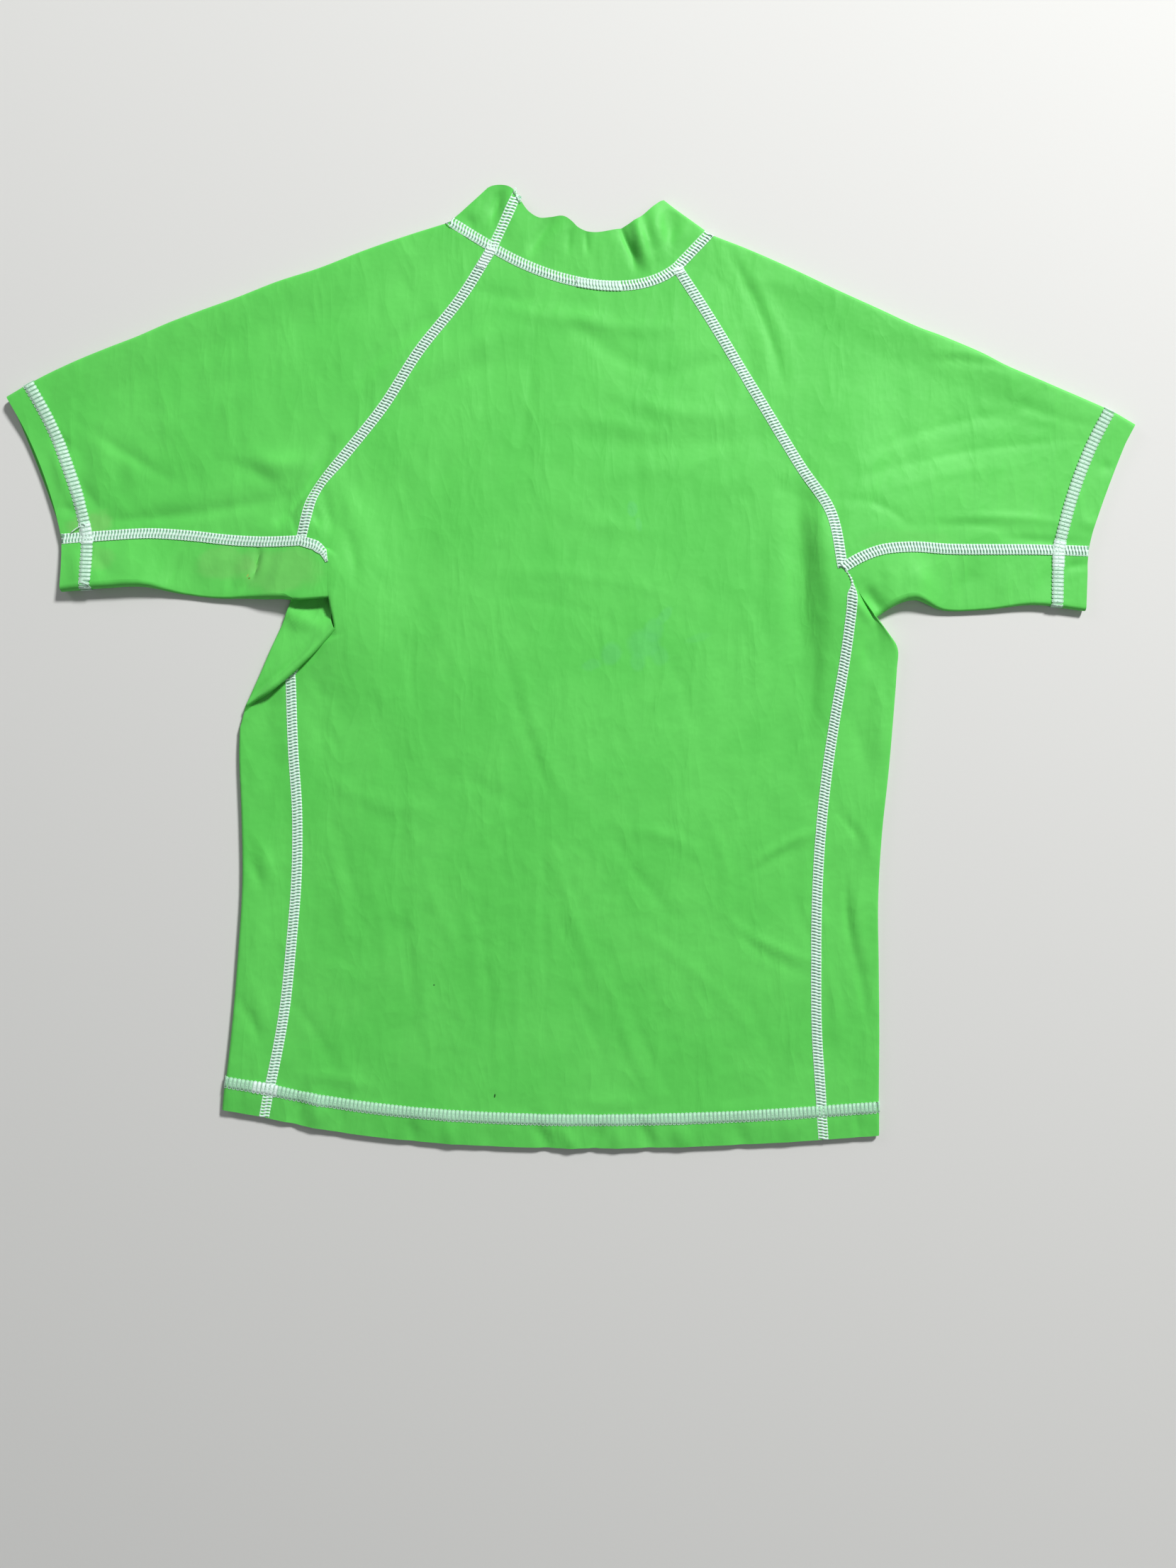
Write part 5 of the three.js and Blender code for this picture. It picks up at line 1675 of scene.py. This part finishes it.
class SWIMTOP_OT_flatlock(bpy.types.Operator):
    """Sews the flatlock seams: raglans, sides, underarms, neck and the collar's join"""

    bl_idname = "swimtop.flatlock"
    bl_label = "Flatlock seams"

    def execute(self, context):
        sizes = context.scene.swim_top_sizes
        tracks = seam_tracks()
        for kind in ("raglan", "side", "underarm"):
            parts = []
            for side in ("left", "right"):
                track = tracks[f"{kind}_{side}"]
                total = track["s"][-1]
                rolls = (kind, side) == ("side", "right")
                width = functools.partial(rolled, total=total) if rolls else None
                lift = CROSSING_LIFT if kind == "underarm" else 0.0
                parts += flatlock(track, sizes, width=width, lift=lift)
                parts += flatlock(tracks[f"{kind}_under_{side}"], sizes, fine=False)
                if kind == "raglan":
                    parts += flatlock(track, sizes, 0.0, SECOND_RUN[side], phase=0.5, tone=0.3)
            if kind == "underarm":
                track = tracks["armpit_left"]
                taper = functools.partial(tapered, total=track["s"][-1])
                parts += flatlock(track, sizes, width=taper, lift=CROSSING_LIFT)
            sew(f"{kind}_flatlock", parts)
        neck = tracks["neck"]
        parts = flatlock(neck, sizes) + flatlock(tracks["join"], sizes)
        start, end = (nearest(neck, NECK_OVERLAP) + way * NECK_SECOND_RUN / 2 for way in (-1, 1))
        parts += flatlock(neck, sizes, start, end, phase=0.5, shift=0.3, tone=-0.1)
        sew("neck_flatlock", parts)
        return {"FINISHED"}


FRINGE = 16  # threads at the end of the collar's join
# The tail leaves the left cuff's stitching in a small loop and lies across the cuff.
TAIL = [
    (-326.4, 87.4, 5.6), (-327.0, 88.8, 6.3), (-328.4, 89.4, 6.6), (-329.4, 88.4, 6.5),
    (-328.9, 87.0, 6.4), (-330.3, 86.3, 6.3), (-332.4, 84.9, 6.2), (-334.2, 83.4, 6.2),
    (-335.4, 82.3, 6.2),
]


class SWIMTOP_OT_ends(bpy.types.Operator):
    """Leaves the loose thread ends: the fringe of the collar's join and the tail at the left cuff"""

    bl_idname = "swimtop.ends"
    bl_label = "Thread ends"

    def execute(self, context):
        thick = context.scene.swim_top_sizes.thread / MM
        collar = garment()["collar"]
        base = mix(collar[-1, 4], collar[-1, -5], 0.5)
        along = unit(collar[-1, 4] - collar[-1, -5])
        inwards = unit(collar[-6, 0] - collar[-1, 0])
        random = np.random.default_rng(7)
        place = np.linspace(-4.4, 4.4, FRINGE)[:, None]
        lean = random.uniform(-0.5, 0.5, (FRINGE, 1))
        reach = random.uniform(1.2, 4.0, (FRINGE, 1))
        root = base + along * place + inwards * 2.2
        tip = root - inwards * reach + along * lean * reach
        up = np.array([0.0, 0.0, 1.0])
        share = np.linspace(0, 1, 5)[None, :, None]
        bend = up * (0.9 + 0.7 * np.sin(share * math.pi))
        bend = bend + along * 0.4 * np.sin(share * 5 + place[:, None])
        parts = [(*string(mix(root[:, None], tip[:, None], share) + bend, thick * 0.2), 0.2)]
        parts.append((*string(np.array([TAIL], float), thick * 0.42), 0.0))
        sew("thread_ends", parts)
        return {"FINISHED"}


def string(points, radius):
    """Round threads through points (strips, points, 3), with their rings square to them."""
    ahead = unit(np.gradient(points, axis=1))
    beside = unit(np.cross(ahead, np.array([0.0, 0.0, 1.0])))
    above = np.cross(beside, ahead)
    turn = np.linspace(0, 2 * math.pi, 6, endpoint=False)[:, None]
    ring = beside[:, :, None] * np.cos(turn) + above[:, :, None] * np.sin(turn)
    return swept(points[:, :, None] + ring * radius)


def rolled(s, total):
    """Width of the right side seam: over 10 mm, just below the armpit, it rolls under."""
    return mix(1.0, 0.12, smoothstep(s, total - 21, total - 11))


def tapered(s, total):
    """Width of the left underarm seam past the armpit, where it rolls into the crease."""
    return mix(1.0, 0.2, smoothstep(s, total * 0.5, total * 1.05))


# Where each closed cover stitch runs over its own start: plan points of the two ends.
HEM_OVERLAP = ((-199.5, -286), (-182.5, -287.5))
CUFF_OVERLAP = {"left": ((-326.3, 90), (-325.8, 77)), "right": ((328.2, 101.5), (329.2, 84))}


class SWIMTOP_OT_hems(bpy.types.Operator):
    """Sews the cover stitch round the hem and the two cuffs"""

    bl_idname = "swimtop.hems"
    bl_label = "Hem and cuff stitching"

    def execute(self, context):
        sizes = context.scene.swim_top_sizes
        g = garment()
        half = sizes.cover_width / MM / 2
        ring = [
            (g["back_panel"], 0, False),
            (g["side_panel_right"], 0, False),
            (g["front_panel"], 0, True),
            (g["side_panel_left"], 0, True),
        ]
        extra = sizes.hem_extra / MM / 2
        track = ring_track(ring, sizes.hem_depth / MM, half, (0, 0, 1))
        parts = cover_stitch(track, sizes, extra)
        sew("hem_cover_stitch", parts + overlap(track, sizes, extra, HEM_OVERLAP))
        parts = []
        for side in ("left", "right"):
            ring = [(g["sleeve_" + side], -1, False), (g["side_panel_" + side], -1, True)]
            depth = CUFF_SHARE[side] * sizes.cuff_depth / MM
            track = ring_track(ring, depth, half, (0, 0, 1))
            parts += cover_stitch(track, sizes, extra, tone=LAID)
            parts += overlap(track, sizes, extra, CUFF_OVERLAP[side])
        sew("cuff_cover_stitch", parts)
        return {"FINISHED"}


def overlap(track, sizes, lift, ends):
    """The doubled stretch of a closed cover stitch."""
    first, last = sorted(nearest(track, end) for end in ends)
    if last - first > track["s"][-1] / 2:
        first, last = last, first + track["s"][-1]
    return cover_stitch(track, sizes, lift, first, last, second=True)


FLOOR_HALF = 4000.0
ROOM_LIGHT = 0.145
CAMERA_PLACE = (16.6, -73.8, 766.0)
CAMERA_TURN, VIEW_WIDTH = 2.0, 54.8  # degrees
# Soft lights: name, place in metres, width in metres and power in watts.
LIGHTS = [
    ("key_light", (1.45, 2.3, 2.15), 0.6, 146.0),
    ("side_light", (-2.0, 1.4, 1.2), 1.0, 7.0),
    ("top_light", (0.7, -0.7, 2.2), 1.6, 4.8),
]


class SWIMTOP_OT_stage(bpy.types.Operator):
    """Makes the pale floor, the soft lights and the camera above the top"""

    bl_idname = "swimtop.stage"
    bl_label = "Stage"

    def execute(self, context):
        scene = context.scene
        side = np.linspace(-FLOOR_HALF, FLOOR_HALF, 41)
        x, y = np.meshgrid(side, side, indexing="ij")
        grid = np.stack([x, y, np.zeros_like(x)], axis=-1)
        index = np.arange(x.size).reshape(x.shape)
        floor = make_object("floor", grid.reshape(-1, 3), [grid_quads(index)], floor_paint())
        if floor.data.polygons[0].normal.z < 0:
            floor.data.flip_normals()
        for name, place, size, power in LIGHTS:
            data = bpy.data.lights.new(name, "AREA")
            data.shape, data.size, data.energy = "DISK", size, power
            light = bpy.data.objects.new(name, data)
            light.location = place
            light.rotation_euler = (-Vector(place)).to_track_quat("-Z", "Y").to_euler()
            scene.collection.objects.link(light)
        world = bpy.data.worlds.new("soft_room")
        world.use_nodes = True
        background = world.node_tree.nodes["Background"]
        background.inputs["Color"].default_value = linear("#f4f7fb")
        background.inputs["Strength"].default_value = ROOM_LIGHT
        scene.world = world
        scene.view_settings.view_transform = "Standard"
        data = bpy.data.cameras.new("camera")
        data.sensor_fit, data.sensor_width = "HORIZONTAL", 36.0
        data.angle = math.radians(VIEW_WIDTH)
        data.dof.use_dof = False
        camera = bpy.data.objects.new("camera", data)
        camera.location = [value * MM for value in CAMERA_PLACE]
        camera.rotation_euler = (0, 0, math.radians(CAMERA_TURN))
        scene.collection.objects.link(camera)
        scene.camera = camera
        return {"FINISHED"}


class SWIMTOP_PT_panel(bpy.types.Panel):
    """Lists the pieces of the swim top"""

    bl_idname = "SWIMTOP_PT_panel"
    bl_label = "Swim Top"
    bl_space_type = "VIEW_3D"
    bl_region_type = "UI"
    bl_category = "Swim Top"

    def draw(self, context):
        for group in (context.scene.swim_top_sizes, context.scene.swim_top_colours):
            box = self.layout.box()
            for name in group.bl_rna.properties.keys():
                if name not in ("name", "rna_type"):
                    box.prop(group, name)
        for operator in OPERATORS:
            self.layout.operator(operator.bl_idname)


OPERATORS = (
    SWIMTOP_OT_panels,
    SWIMTOP_OT_sleeves,
    SWIMTOP_OT_sides,
    SWIMTOP_OT_collar,
    SWIMTOP_OT_flatlock,
    SWIMTOP_OT_hems,
    SWIMTOP_OT_ends,
    SWIMTOP_OT_stage,
)
CLASSES = (SwimTopSizes, SwimTopColours) + OPERATORS + (SWIMTOP_PT_panel,)


def register():
    """Registers the classes and the scene's sizes and colours."""
    for cls in CLASSES:
        bpy.utils.register_class(cls)
    bpy.types.Scene.swim_top_sizes = PointerProperty(type=SwimTopSizes)
    bpy.types.Scene.swim_top_colours = PointerProperty(type=SwimTopColours)


def unregister():
    """Takes them out again."""
    del bpy.types.Scene.swim_top_colours
    del bpy.types.Scene.swim_top_sizes
    for cls in reversed(CLASSES):
        bpy.utils.unregister_class(cls)


def main():
    """Registers the add-on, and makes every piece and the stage."""
    register()
    for operator in OPERATORS:
        group, name = operator.bl_idname.split(".")
        getattr(getattr(bpy.ops, group), name)()


if __name__ == "__main__":
    main()
